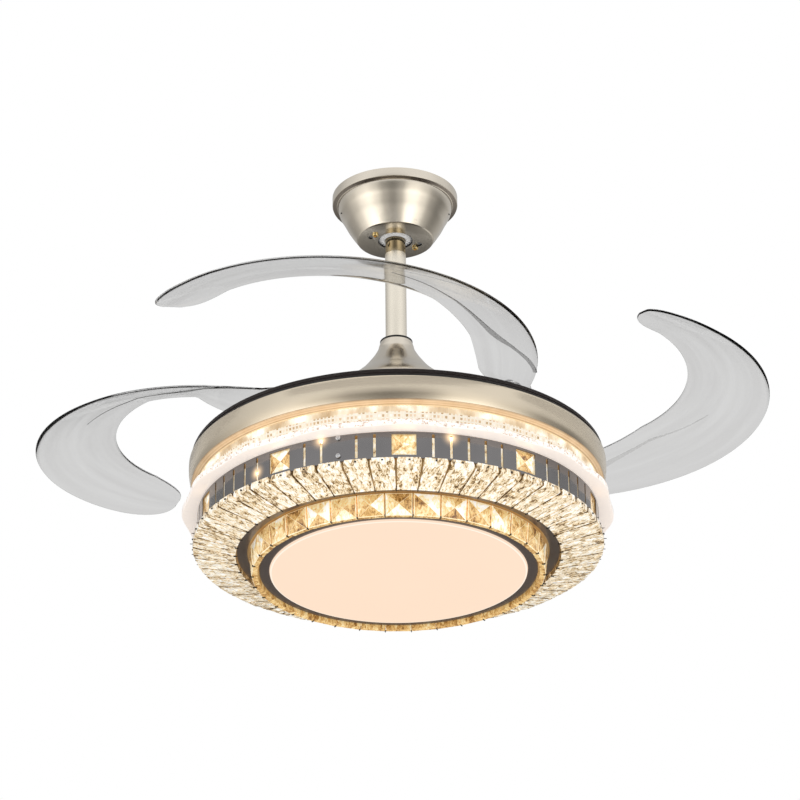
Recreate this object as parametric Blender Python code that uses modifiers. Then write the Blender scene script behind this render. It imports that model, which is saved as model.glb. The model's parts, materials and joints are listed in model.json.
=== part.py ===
# Chandelier ceiling fan with folding clear blades and a crystal lamp.
# Metres, +Z up. The origin is on the ceiling, at the centre of the mounting bracket.
import math

import bmesh
import bpy
from mathutils import Matrix, Vector

for leftover in list(bpy.data.objects):
    bpy.data.objects.remove(leftover, do_unlink=True)

# Fits shared by every piece
GAP = 0.0003
OVERRUN = 0.004
MERGE = 0.0001

# Ceiling bracket
STRAP_LENGTH = 0.130
STRAP_WIDTH = 0.044
STRAP_THICK = 0.0025
STRAP_SLOT_PITCH = 0.090
STRAP_SLOT_LENGTH = 0.014
STRAP_SLOT_WIDTH = 0.005
LEG_SPACING = 0.066
LEG_WIDTH = 0.028
LEG_THICK = 0.0025
SEAT_PLATE_RADIUS = 0.038
SEAT_PLATE_THICK = 0.0025
SEAT_HOLE_RADIUS = 0.019

# Canopy
CANOPY_RIM_RADIUS = 0.0779
CANOPY_RIM_HEIGHT = 0.0115
CANOPY_FLOOR_RADIUS = 0.0467
CANOPY_HEIGHT = 0.0603
CANOPY_WALL = 0.0012
CANOPY_HOLE_RADIUS = 0.0215
# radius (0 at the floor, 1 at the rim) and drop (0 under the rim, 1 at the floor)
CANOPY_BOWL_SHARES = [
    (0.79, 0.03), (0.75, 0.135), (0.635, 0.32), (0.49, 0.50), (0.31, 0.71), (0.10, 0.92), (0.0, 1.0),
]
CANOPY_SCREW_CIRCLE = 0.0300
CANOPY_SCREW_ANGLE = math.radians(215.0)
KEYHOLE_TURN = math.radians(15.5)
KEYHOLE_RADIUS = 0.0044
KEYHOLE_NECK_SHARE = 0.4
SCREW_SHANK_RADIUS = 0.0019
SCREW_HEAD_RADIUS = 0.0038
SCREW_HEAD_HEIGHT = 0.0028
SCREW_CLEARANCE = 0.0004
CANOPY_SCREW_LENGTH = 0.0075

# Terminal block under the strap
TERMINAL_LENGTH = 0.030
TERMINAL_WIDTH = 0.018
TERMINAL_HEIGHT = 0.013

# Hanger ball and downrod
BALL_RADIUS = 0.023
BALL_TOP_ABOVE_CENTRE = 0.015
BALL_BOTTOM_BELOW_CENTRE = 0.018
BALL_RINGS = 6
ROD_RADIUS = 0.0130
ROD_WALL = 0.0020
ROD_FERRULE_RADIUS = 0.0124
ROD_FERRULE_END = 0.080
ROD_TOP_ABOVE_BALL = 0.021
ROD_LENGTH = 0.2277
BALL_PIN_RADIUS = 0.0025
BALL_PIN_LENGTH = 0.044

# Coupling cover, rubber ring, yoke
COVER_ABOVE_ROD_END = 0.0457
COVER_HEIGHT = 0.0752
COVER_TOP_RADIUS = 0.0196
COVER_BASE_RADIUS = 0.0740
COVER_WALL = 0.0012
# radius (0 at the top, 1 at the base) and drop (0 at the top, 1 at the base)
COVER_FLARE_SHARES = [
    (0.0, 0.0), (0.04, 0.10), (0.16, 0.24), (0.33, 0.40), (0.60, 0.63), (0.85, 0.83), (1.0, 1.0),
]
RUBBER_RING_HEIGHT = 0.0024
YOKE_RADIUS = 0.0200
YOKE_ABOVE_ROD_END = 0.0280
YOKE_HEIGHT = 0.0580
YOKE_FREE_DEPTH = 0.0125
YOKE_PIN_RADIUS = 0.0030
YOKE_PIN_LENGTH = 0.0440
YOKE_PIN_BELOW_TOP = 0.0080

# Motor
SHAFT_RADIUS = 0.0085
SHAFT_BORE_RADIUS = 0.0045
SHAFT_BELOW_CHASSIS = 0.0120
MOTOR_RADIUS = 0.0780
MOTOR_WALL = 0.0030
MOTOR_HEIGHT = 0.0710
MOTOR_COVER_GAP = 0.0050
MOTOR_UPPER_DEPTH = 0.0380
MOTOR_FOOT_RADIUS = 0.0950
BEARING_RADIUS = 0.0160
BEARING_HEIGHT = 0.0092
BEARING_SEAT_WALL = 0.0027
BEARING_LIP = 0.0040
STATOR_RADIUS = 0.0620
STATOR_HEIGHT = 0.0300
MAGNET_THICK = 0.0107
MAGNET_HEIGHT = 0.0340

# Rotor disc: the black cover and the base plate that hold the blades
DISC_BELOW_MOTOR = 0.0060
DISC_INSIDE_RING = 0.0030
DISC_EDGE_ROUND = 0.0020
DISC_PLATE = 0.0025
DISC_RIM_WALL = 0.0025
DISC_RIM_HEIGHT = 0.0072
DISC_HOLE_RADIUS = 0.0600
BASE_INSIDE_DISC = 0.0005
BASE_THICK = 0.0014
BASE_DEPTH_BELOW_DISC = 0.0075
BOSS_FOOT_RADIUS = 0.0390
BOSS_TOP_RADIUS = 0.0260
BOSS_HEIGHT = 0.0050

# Blade pivots and the gear that keeps the blades in step
BLADE_COUNT = 4
PIVOT_INSIDE_DISC = 0.0420
PIVOT_ANGLE = math.radians(219.33)
BLADE_SWING = math.radians(65.78)
PIVOT_SCREW_RADIUS = 0.0040
PIVOT_HEAD_RADIUS = 0.0065
PIVOT_HEAD_HEIGHT = 0.0022
HUB_NECK_RADIUS = 0.0117
HUB_SPIGOT_RADIUS = 0.0080
HUB_SPIGOT_PROUD = 0.0012
GEAR_TEETH = 144
PINION_TEETH = 20
GEAR_THICK = 0.0036
TOOTH_DEPTH_SHARE = 1.25
TOOTH_ROOT_SHARE = 0.28
TOOTH_TIP_SHARE = 0.10
GEAR_SECTOR_TEETH = 7
PINION_SECTOR_TEETH = 6
GEAR_PLAIN_STEPS = 5
PINION_PLAIN_STEPS = 6
GEAR_RING_WIDTH = 0.0105
GEAR_RIB_WIDTH = 0.0030
GEAR_RIB_HEIGHT = 0.0022
SPRING_WALL = 0.0025

# Blades: two arcs make the crescent, seen from above, for the blade at the left.
# Folded in, the outer arc is concentric with the disc.
BLADE_EDGE_INSIDE_DISC = 0.0170
BLADE_OUTER_ANGLES = (math.radians(284.0), math.radians(106.7))
BLADE_ARC_STEP = 0.0554
BLADE_ARC_SHIFT = (0.0409, 0.0096)
BLADE_INNER_ANGLES = (math.radians(260.0), math.radians(119.0))
BLADE_THICK = 0.0026
BLADE_ROOT_ABOVE_DISC = 0.0188
BLADE_RISE = 0.0332
BLADE_PITCH_ROOT = 0.0200
BLADE_PITCH_MIDDLE = 0.0342
BLADE_PITCH_OUTER = 0.0238
BLADE_PITCH_TIP = 0.0107
BLADE_PITCH_FULL_SHARE = 0.26
BLADE_PITCH_FADE_SHARE = 0.85
BLADE_TIP_SHARE = 0.88
BLADE_TIP_POWER = 1.5
BLADE_TIP_LEAN_SHARE = 0.34
BLADE_CAMBER = 0.0040
BLADE_SEAT_ABOVE_DISC = 0.0210
BLADE_CAP_LENGTH = 0.0420
BLADE_SETTLE_SHARE = 0.086
BLADE_ROWS = 12
BLADE_COLUMNS = 4
# degrees round the end, for the rows of the rounded root and tip
BLADE_CAP_ROWS = (76.0, 52.0, 24.0)
BLADE_TIP_ROWS = (30.0, 56.0, 78.0)

# Lamp body, from the top down
RING_BELOW_DISC = 0.0100
RING_RADIUS = 0.2500
RING_HEIGHT = 0.0285
RING_ROLL = 0.0033
RING_WALL = 0.0015
# inset (of the roll) and drop (of the height)
RING_SHARES = [(0.73, 0.0), (0.0, 0.077), (0.0, 0.60), (0.24, 0.807), (1.0, 1.0)]
CHASSIS_THICK = 0.0012
REFLECTOR_INSIDE_RING = 0.0026
REFLECTOR_TAPER = 0.0068
REFLECTOR_FOOT_WIDTH = 0.0046
REFLECTOR_HEIGHT = 0.0054
PRISM_WALL = 0.0036
PRISM_HEIGHT = 0.0242
LED_STRIP_BEHIND = 0.0060
LED_STRIP_WALL = 0.0020
LED_STRIP_HEIGHT = 0.0250
PLATE_PROUD = 0.0055
PLATE_WIDTH = 0.0335
PLATE_THICK = 0.0070
PLATE_LOBES = 16
PLATE_LOBE_DEPTH = 0.0020
PLATE_LOBE_ANGLE = math.radians(2.75)
PLATE_STEPS_PER_LOBE = 4
BAND_INSIDE_RING = 0.0110
BAND_WALL = 0.0012
BAND_HEIGHT = 0.0328
WINDOW_COUNT = 10
WINDOW_ANGLE = math.radians(-88.2)
WINDOW_WIDTH = 0.0280
WINDOW_HEIGHT = 0.0260
WINDOW_DROP = 0.0029
SLOT_COUNT = 5
SLOT_FIRST_ANGLE = math.radians(8.0)
SLOT_STEP_ANGLE = math.radians(5.0)
SLOT_WIDTH = 0.0034
SLOT_HEIGHT = 0.0285
SLOT_DROP = 0.0021
SEAM_GAP_INDEX = 9
SEAM_SLOT_INDEX = 2
BAND_SCREW_DROPS = (0.0032, 0.0255)
BAND_SCREW_HEAD_RADIUS = 0.0032
BAND_SCREW_HEAD_HEIGHT = 0.0016
BAND_SCREW_SHANK_RADIUS = 0.0012
BAND_SCREW_CROWN_SHARE = 0.7
PAN_WALL = 0.0012
PAN_FLANGE_CLEARANCE = 0.0004
PAN_WALL_BEHIND = 0.0073
STRIP_WALL = 0.0016
WINDOW_CRYSTAL_MARGIN = 0.0010
WINDOW_CRYSTAL_THICK = 0.0045
WINDOW_CRYSTAL_PEAK = 0.0012
WINDOW_CRYSTAL_SINK = 0.0004
OUTER_CRYSTAL_COUNT = 50
OUTER_CRYSTAL_PROUD = 0.0060
OUTER_CRYSTAL_WIDTH = 0.0517
OUTER_CRYSTAL_BELOW_BAND = 0.0091
OUTER_CRYSTAL_FALL = 0.0104
OUTER_CRYSTAL_EDGE = 0.0080
OUTER_CRYSTAL_THICK = 0.0058
OUTER_CRYSTAL_BEVEL = 0.0012
INNER_CRYSTAL_COUNT = 34
INNER_CRYSTAL_INSIDE = 0.0153
INNER_CRYSTAL_TAPER = 0.0030
INNER_CRYSTAL_RECESS = 0.0049
INNER_CRYSTAL_HEIGHT = 0.0279
INNER_CRYSTAL_THICK = 0.0085
INNER_CRYSTAL_BEVEL = 0.0012
INNER_CRYSTAL_PEAK = 0.0020
CHANNEL_WALL = 0.0012
FRAME_INSIDE_CRYSTALS = 0.0100
FRAME_ABOVE_CRYSTALS = 0.0056
FRAME_FACE_WIDTH = 0.0123
FRAME_LIP = 0.0015
FRAME_WALL_BEHIND = 0.0060
FRAME_WALL = 0.0014
DIFFUSER_THICK = 0.0025
DIFFUSER_PROUD = 0.0025
DIFFUSER_ROUND = 0.0015
LED_BOARD_THICK = 0.0015
DRIVER_SIZE = (0.140, 0.052, 0.028)
DRIVER_START = 0.040
RECEIVER_SIZE = (0.090, 0.040, 0.020)
RECEIVER_START = 0.040
BOX_ROUND = 0.0020
SHAFT_NUT_RADIUS = 0.0150
SHAFT_NUT_HEIGHT = 0.0100
NUT_SIDES = 6
LEAD_RADIUS = 0.0032
LEAD_OFFSET = 0.0068
LEAD_BEND = 0.0120
LEAD_BEND_STEPS = 6

# Facets round a full turn, by size of piece
SCREW_STEPS = 12
SMALL_STEPS = 16
MIDDLE_STEPS = 20
LARGE_STEPS = 36

# A face looks the wanted way when its normal and that way agree by this share
FACING_SHARE = 0.97


def make_collection(name):
    group = bpy.data.collections.new(name)
    bpy.context.scene.collection.children.link(group)
    return group


PARTS = make_collection("chandelier_ceiling_fan")
CUTTERS = make_collection("cutters")


def make_material(name, colour, roughness, metallic):
    made = bpy.data.materials.new(name)
    made.use_nodes = True
    shader = made.node_tree.nodes["Principled BSDF"]
    shader.inputs["Base Color"].default_value = (*colour, 1.0)
    shader.inputs["Roughness"].default_value = roughness
    shader.inputs["Metallic"].default_value = metallic
    return made


FINISHES = {
    "satin_nickel": ((0.56, 0.52, 0.45), 0.32, 1.0),
    "zinc_steel": ((0.55, 0.56, 0.58), 0.40, 1.0),
    "brass": ((0.72, 0.52, 0.20), 0.30, 1.0),
    "bright_steel": ((0.70, 0.70, 0.72), 0.20, 1.0),
    "dark_mirror": ((0.20, 0.20, 0.21), 0.12, 1.0),
    "bronze": ((0.16, 0.12, 0.09), 0.35, 1.0),
    "black_metal": ((0.02, 0.02, 0.02), 0.45, 0.6),
    "black_plastic": ((0.015, 0.015, 0.016), 0.40, 0.0),
    "white_nylon": ((0.80, 0.80, 0.78), 0.45, 0.0),
    "rubber": ((0.012, 0.012, 0.012), 0.70, 0.0),
    "lamination": ((0.24, 0.22, 0.20), 0.50, 0.8),
    "magnet": ((0.10, 0.10, 0.11), 0.35, 0.6),
    "clear_acrylic": ((0.80, 0.80, 0.80), 0.05, 0.0),
    "frosted_acrylic": ((0.86, 0.80, 0.76), 0.30, 0.0),
    "amber_reflector": ((0.80, 0.58, 0.30), 0.20, 0.7),
    "pale_crystal": ((0.85, 0.78, 0.60), 0.08, 0.0),
    "amber_crystal": ((0.78, 0.55, 0.28), 0.06, 0.0),
    "opal_panel": ((0.92, 0.82, 0.72), 0.40, 0.0),
    "circuit_board": ((0.80, 0.80, 0.78), 0.40, 0.2),
    "cable": ((0.70, 0.70, 0.70), 0.55, 0.0),
}


def add_object(name, mesh, finish):
    made = bpy.data.objects.new(name, mesh)
    PARTS.objects.link(made)
    colour, roughness, metallic = FINISHES[finish]
    made.data.materials.append(make_material(name + "_finish", colour, roughness, metallic))
    return made


def add_cutter(name, bm):
    mesh = bpy.data.meshes.new(name)
    bm.to_mesh(mesh)
    bm.free()
    made = bpy.data.objects.new(name, mesh)
    CUTTERS.objects.link(made)
    made.hide_render = True
    made.display_type = "WIRE"
    return made


def join_or_cut(target, other, operation):
    step = target.modifiers.new(other.name, "BOOLEAN")
    step.operation = operation
    step.object = other
    return target


def cut(target, other):
    return join_or_cut(target, other, "DIFFERENCE")


def join(target, other):
    return join_or_cut(target, other, "UNION")


def smooth(made):
    made.data.shade_smooth()
    made.data.set_sharp_from_angle(angle=math.radians(30.0))


def realise(made):
    """Bake the modifiers of an object into its mesh."""
    bpy.context.view_layer.update()
    graph = bpy.context.evaluated_depsgraph_get()
    mesh = bpy.data.meshes.new_from_object(made.evaluated_get(graph))
    made.modifiers.clear()
    made.data = mesh
    return made


def inset_line(points, wall):
    """Shift a line of (radius, height) points inwards, keeping its corners."""
    shifted = []
    last = len(points) - 1
    for index, point in enumerate(points):
        normals = []
        for first, second in ((index - 1, index), (index, index + 1)):
            if first >= 0 and second <= last:
                along = (Vector(points[second]) - Vector(points[first])).normalized()
                normals.append(Vector((along.y, -along.x)))
        middle = sum(normals, Vector((0.0, 0.0))).normalized()
        reach = wall / middle.dot(normals[0])
        shifted.append(tuple(Vector(point) + middle * reach))
    return shifted


def shell_section(points, wall):
    """Close a line that runs down the outer side into a wall's section."""
    return list(points) + inset_line(points, wall)[::-1]


def facet_sag(radius, steps):
    """How far the flats of a many-sided ring lie inside its corners."""
    return radius * (1.0 - math.cos(math.pi / steps))


def running_gap(radius, steps):
    """The gap that lets one many-sided ring turn inside another."""
    return GAP + facet_sag(radius, steps)


def ring_section(outer, inner, top, bottom):
    return [(outer, top), (outer, bottom), (inner, bottom), (inner, top)]


def turn_line(name, line, edges, steps, finish):
    """Turn a line of (radius, height) points, outer side downwards, about Z."""
    mesh = bpy.data.meshes.new(name)
    mesh.from_pydata([(radius, 0.0, height) for radius, height in line], edges, [])
    made = add_object(name, mesh, finish)
    spin = made.modifiers.new("turn", "SCREW")
    spin.angle = math.tau
    spin.steps = steps
    spin.render_steps = steps
    spin.use_merge_vertices = True
    spin.merge_threshold = MERGE
    return made


def turn(name, section, steps, finish):
    """Turn a closed section, outer side first."""
    count = len(section)
    return turn_line(name, section, [(i, (i + 1) % count) for i in range(count)], steps, finish)


def turn_on_axis(name, section, steps, finish):
    """Turn a line whose two ends are first joined to the axis."""
    line = [(0.0, section[0][1])] + list(section) + [(0.0, section[-1][1])]
    return turn_line(name, line, [(i, i + 1) for i in range(len(line) - 1)], steps, finish)


def round_bar(radius, low, high, steps, axis="Z", centre=(0.0, 0.0, 0.0)):
    """A bmesh cylinder from low to high along an axis through centre."""
    bm = bmesh.new()
    bmesh.ops.create_cone(bm, cap_ends=True, segments=steps, radius1=radius, radius2=radius,
                          depth=high - low)
    place = Matrix.Translation(Vector(centre))
    if axis == "X":
        place = place @ Matrix.Rotation(math.radians(90.0), 4, "Y")
    middle = Matrix.Translation((0.0, 0.0, (low + high) / 2))
    bmesh.ops.transform(bm, matrix=place @ middle, verts=bm.verts)
    return bm


def block(low, high):
    """A bmesh box between two corners."""
    bm = bmesh.new()
    size = [high[i] - low[i] for i in range(3)]
    centre = [(high[i] + low[i]) / 2 for i in range(3)]
    place = Matrix.Translation(centre) @ Matrix.Diagonal((*size, 1.0))
    bmesh.ops.create_cube(bm, size=1.0, matrix=place)
    return bm


def add_solid(name, bm, finish):
    mesh = bpy.data.meshes.new(name)
    bm.to_mesh(mesh)
    bm.free()
    return add_object(name, mesh, finish)


def merge_into(bm, other):
    """Add a second bmesh's shape to the first, still as a body of its own."""
    mesh = bpy.data.meshes.new("merge")
    other.to_mesh(mesh)
    other.free()
    bm.from_mesh(mesh)
    bpy.data.meshes.remove(mesh)


def add_outline(name, outlines, low, high, finish):
    """Flat outlines, the second a hole in the first, as a filled 2D curve made a mesh."""
    curve = bpy.data.curves.new(name, "CURVE")
    curve.dimensions = "2D"
    curve.fill_mode = "BOTH"
    curve.extrude = (high - low) / 2
    for outline in outlines:
        spline = curve.splines.new("POLY")
        spline.points.add(len(outline) - 1)
        for point, (x, y) in zip(spline.points, outline):
            point.co = (x, y, 0.0, 1.0)
        spline.use_cyclic_u = True
    guide = bpy.data.objects.new(name + "_curve", curve)
    CUTTERS.objects.link(guide)
    bpy.context.view_layer.update()
    graph = bpy.context.evaluated_depsgraph_get()
    mesh = bpy.data.meshes.new_from_object(guide.evaluated_get(graph))
    bpy.data.objects.remove(guide, do_unlink=True)
    bm = bmesh.new()
    bm.from_mesh(mesh)
    bmesh.ops.remove_doubles(bm, verts=bm.verts, dist=MERGE / 2)
    bmesh.ops.translate(bm, verts=bm.verts, vec=(0.0, 0.0, (low + high) / 2))
    bm.to_mesh(mesh)
    bm.free()
    return add_object(name, mesh, finish)


def add_axis(name, place, parent=None):
    """An empty on a joint's axis, which carries the pieces that move."""
    axis = bpy.data.objects.new(name, None)
    PARTS.objects.link(axis)
    axis.location = place
    if parent:
        bpy.context.view_layer.update()
        axis.parent = parent
        axis.matrix_parent_inverse = parent.matrix_world.inverted()
    return axis


def carry(parent, pieces):
    bpy.context.view_layer.update()
    for piece in pieces:
        piece.parent = parent
        piece.matrix_parent_inverse = parent.matrix_world.inverted()


# Heights worked out from the sizes above; every height is negative, below the ceiling
canopyFloorTop = -CANOPY_HEIGHT + CANOPY_WALL
seatPlateBottom = canopyFloorTop + GAP
seatPlateTop = seatPlateBottom + SEAT_PLATE_THICK
ballCentre = seatPlateTop + math.sqrt((BALL_RADIUS + GAP) ** 2 - SEAT_HOLE_RADIUS ** 2)
rodTop = ballCentre + ROD_TOP_ABOVE_BALL
rodBottom = rodTop - ROD_LENGTH
yokeTop = rodBottom + YOKE_ABOVE_ROD_END
yokeBottom = yokeTop - YOKE_HEIGHT
yokePinHeight = yokeTop - YOKE_PIN_BELOW_TOP
shaftTop = rodBottom - YOKE_FREE_DEPTH
coverTop = rodBottom + COVER_ABOVE_ROD_END
coverBottom = coverTop - COVER_HEIGHT
motorTop = coverBottom - MOTOR_COVER_GAP
motorSplit = motorTop - MOTOR_UPPER_DEPTH
motorFloor = motorTop - MOTOR_HEIGHT
discTop = motorFloor - DISC_BELOW_MOTOR
motorFoot = discTop + GAP
discUnder = discTop - DISC_PLATE
baseTop = discTop - BASE_DEPTH_BELOW_DISC
baseBottom = baseTop - BASE_THICK
gearBottom = baseTop + GAP
gearTop = gearBottom + GEAR_THICK
ringTop = discTop - RING_BELOW_DISC
ringBottom = ringTop - RING_HEIGHT
reflectorTop = ringBottom - GAP
reflectorBottom = reflectorTop - REFLECTOR_HEIGHT
prismTop = reflectorBottom - GAP
prismBottom = prismTop - PRISM_HEIGHT
plateTop = prismBottom - GAP
plateBottom = plateTop - PLATE_THICK
panTop = plateBottom - GAP
bandTop = plateBottom - 2 * GAP
bandBottom = bandTop - BAND_HEIGHT
outerCrystalHigh = bandBottom - OUTER_CRYSTAL_BELOW_BAND
outerCrystalLow = outerCrystalHigh - OUTER_CRYSTAL_FALL
innerCrystalHigh = outerCrystalLow + INNER_CRYSTAL_RECESS
innerCrystalLow = innerCrystalHigh - INNER_CRYSTAL_HEIGHT
frameBottom = innerCrystalLow + FRAME_ABOVE_CRYSTALS
frameLipTop = frameBottom + FRAME_LIP

# Radii of the disc and the lamp, all worked out from the metal ring's
discRadius = RING_RADIUS - DISC_INSIDE_RING
baseRadius = discRadius - BASE_INSIDE_DISC
pivotRadius = discRadius - PIVOT_INSIDE_DISC
reflectorTopRadius = RING_RADIUS - REFLECTOR_INSIDE_RING
reflectorFootRadius = reflectorTopRadius - REFLECTOR_TAPER
reflectorInnerRadius = reflectorFootRadius - REFLECTOR_FOOT_WIDTH
ledStripRadius = reflectorInnerRadius - LED_STRIP_BEHIND
plateRadius = RING_RADIUS + PLATE_PROUD
plateInnerRadius = plateRadius - PLATE_WIDTH
bandRadius = RING_RADIUS - BAND_INSIDE_RING
panFlangeRadius = bandRadius - BAND_WALL - PAN_FLANGE_CLEARANCE
panWallRadius = bandRadius - BAND_WALL - PAN_WALL_BEHIND
outerCrystalTop = (bandRadius + OUTER_CRYSTAL_PROUD, outerCrystalHigh)
outerCrystalFoot = (outerCrystalTop[0] - OUTER_CRYSTAL_WIDTH, outerCrystalLow)
innerCrystalTop = (outerCrystalFoot[0] - INNER_CRYSTAL_INSIDE, innerCrystalHigh)
innerCrystalFoot = (innerCrystalTop[0] - INNER_CRYSTAL_TAPER, innerCrystalLow)
frameRadius = innerCrystalFoot[0] - FRAME_INSIDE_CRYSTALS
frameOpeningRadius = frameRadius - FRAME_FACE_WIDTH
frameWallRadius = frameRadius - FRAME_WALL_BEHIND


def build_bracket():
    half = STRAP_LENGTH / 2
    bracket = add_solid("ceiling_bracket",
                        block((-half, -STRAP_WIDTH / 2, -STRAP_THICK), (half, STRAP_WIDTH / 2, 0.0)),
                        "zinc_steel")
    plate = add_cutter("seat_plate", round_bar(SEAT_PLATE_RADIUS, seatPlateBottom, seatPlateTop,
                                               MIDDLE_STEPS))
    join(bracket, plate)
    for side, name in ((-1, "left"), (1, "right")):
        near = side * LEG_SPACING / 2
        far = side * (LEG_SPACING / 2 + LEG_THICK)
        low = (min(near, far), -LEG_WIDTH / 2, seatPlateBottom + SEAT_PLATE_THICK / 2)
        high = (max(near, far), LEG_WIDTH / 2, -STRAP_THICK / 2)
        join(bracket, add_cutter("leg_" + name, block(low, high)))
    cut(bracket, add_cutter("seat_hole", round_bar(SEAT_HOLE_RADIUS, seatPlateBottom - OVERRUN,
                                                   seatPlateTop + OVERRUN, MIDDLE_STEPS)))
    for x in (-STRAP_SLOT_PITCH / 2, STRAP_SLOT_PITCH / 2):
        low = (x - STRAP_SLOT_LENGTH / 2, -STRAP_SLOT_WIDTH / 2, -STRAP_THICK - OVERRUN)
        high = (x + STRAP_SLOT_LENGTH / 2, STRAP_SLOT_WIDTH / 2, OVERRUN)
        cut(bracket, add_cutter("ceiling_screw_slot", block(low, high)))
    for x, y in canopy_screw_places():
        hole = round_bar(SCREW_SHANK_RADIUS + SCREW_CLEARANCE, seatPlateBottom - OVERRUN,
                         seatPlateTop + OVERRUN, SCREW_STEPS, centre=(x, y, 0.0))
        cut(bracket, add_cutter("canopy_screw_hole", hole))
    return bracket


def polar(radius, angle):
    return radius * math.cos(angle), radius * math.sin(angle)


def canopy_screw_places():
    return [polar(CANOPY_SCREW_CIRCLE, CANOPY_SCREW_ANGLE + turn_by) for turn_by in (0.0, math.pi)]


def build_canopy():
    outside = [(CANOPY_RIM_RADIUS, 0.0), (CANOPY_RIM_RADIUS, -CANOPY_RIM_HEIGHT)]
    for radius_share, drop_share in CANOPY_BOWL_SHARES:
        radius = CANOPY_FLOOR_RADIUS + radius_share * (CANOPY_RIM_RADIUS - CANOPY_FLOOR_RADIUS)
        height = -CANOPY_RIM_HEIGHT - drop_share * (CANOPY_HEIGHT - CANOPY_RIM_HEIGHT)
        outside.append((radius, height))
    outside.append((CANOPY_HOLE_RADIUS, -CANOPY_HEIGHT))
    canopy = turn("canopy", shell_section(outside, CANOPY_WALL), MIDDLE_STEPS, "satin_nickel")
    low = -CANOPY_HEIGHT - OVERRUN
    high = canopyFloorTop + OVERRUN / 2
    slot_radius = SCREW_SHANK_RADIUS + SCREW_CLEARANCE
    for turn_by in (0.0, math.pi):
        start = CANOPY_SCREW_ANGLE + turn_by
        for share, radius in ((0.0, slot_radius), (KEYHOLE_NECK_SHARE, slot_radius), (1.0, KEYHOLE_RADIUS)):
            x, y = polar(CANOPY_SCREW_CIRCLE, start - share * KEYHOLE_TURN)
            hole = round_bar(radius, low, high, SCREW_STEPS, centre=(x, y, 0.0))
            cut(canopy, add_cutter("keyhole", hole))
    smooth(canopy)
    return canopy


def build_canopy_screws():
    made = []
    top = -CANOPY_HEIGHT - GAP
    for name, (x, y) in zip(("left", "right"), canopy_screw_places()):
        section = [(SCREW_SHANK_RADIUS, top + CANOPY_SCREW_LENGTH), (SCREW_SHANK_RADIUS, top),
                   (SCREW_HEAD_RADIUS, top), (SCREW_HEAD_RADIUS, top - SCREW_HEAD_HEIGHT / 2),
                   (SCREW_SHANK_RADIUS, top - SCREW_HEAD_HEIGHT)]
        screw = turn_on_axis("canopy_screw_" + name, section, SCREW_STEPS, "brass")
        screw.location = (x, y, 0.0)
        made.append(screw)
    return made


def build_terminal_block():
    start = LEG_SPACING / 2 + LEG_THICK + GAP
    top = -STRAP_THICK - GAP
    low = (start, -TERMINAL_LENGTH / 2, top - TERMINAL_HEIGHT)
    high = (start + TERMINAL_WIDTH, TERMINAL_LENGTH / 2, top)
    return rounded_block("terminal_block", low, high, "white_nylon")


def rounded_block(name, low, high, finish):
    bm = block(low, high)
    bmesh.ops.bevel(bm, geom=bm.edges[:], offset=BOX_ROUND, offset_type="OFFSET",
                    affect="EDGES", segments=1, profile=0.5, material=-1)
    return add_solid(name, bm, finish)


def build_hanger_ball():
    section = []
    rings = BALL_RINGS
    low = -math.asin(BALL_BOTTOM_BELOW_CENTRE / BALL_RADIUS)
    high = math.asin(BALL_TOP_ABOVE_CENTRE / BALL_RADIUS)
    for index in range(rings + 1):
        angle = high + (low - high) * index / rings
        section.append((BALL_RADIUS * math.cos(angle), ballCentre + BALL_RADIUS * math.sin(angle)))
    bore = ROD_FERRULE_RADIUS + GAP
    section += [(bore, section[-1][1]), (bore, section[0][1])]
    ball = turn("hanger_ball", section, MIDDLE_STEPS, "white_nylon")
    cut(ball, add_cutter("ball_pin_hole", pin_hole(BALL_PIN_RADIUS, ballCentre)))
    smooth(ball)
    return ball


def pin_hole(radius, height):
    reach = BALL_PIN_LENGTH
    return round_bar(radius + GAP, -reach, reach, SCREW_STEPS, "X", (0.0, 0.0, height))


def build_pin(name, radius, length, height):
    bm = round_bar(radius, -length / 2, length / 2, SCREW_STEPS, "X", (0.0, 0.0, height))
    return add_solid(name, bm, "bright_steel")


def build_downrod():
    bore = ROD_RADIUS - ROD_WALL
    step = ROD_RADIUS - ROD_FERRULE_RADIUS
    section = [(ROD_FERRULE_RADIUS, rodTop), (ROD_FERRULE_RADIUS, -ROD_FERRULE_END),
               (ROD_RADIUS, -ROD_FERRULE_END - step), (ROD_RADIUS, rodBottom),
               (bore, rodBottom), (bore, rodTop)]
    rod = turn("downrod", section, MIDDLE_STEPS, "satin_nickel")
    cut(rod, add_cutter("rod_ball_pin_hole", pin_hole(BALL_PIN_RADIUS, ballCentre)))
    cut(rod, add_cutter("rod_yoke_pin_hole", pin_hole(YOKE_PIN_RADIUS, yokePinHeight)))
    smooth(rod)
    return rod


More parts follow.
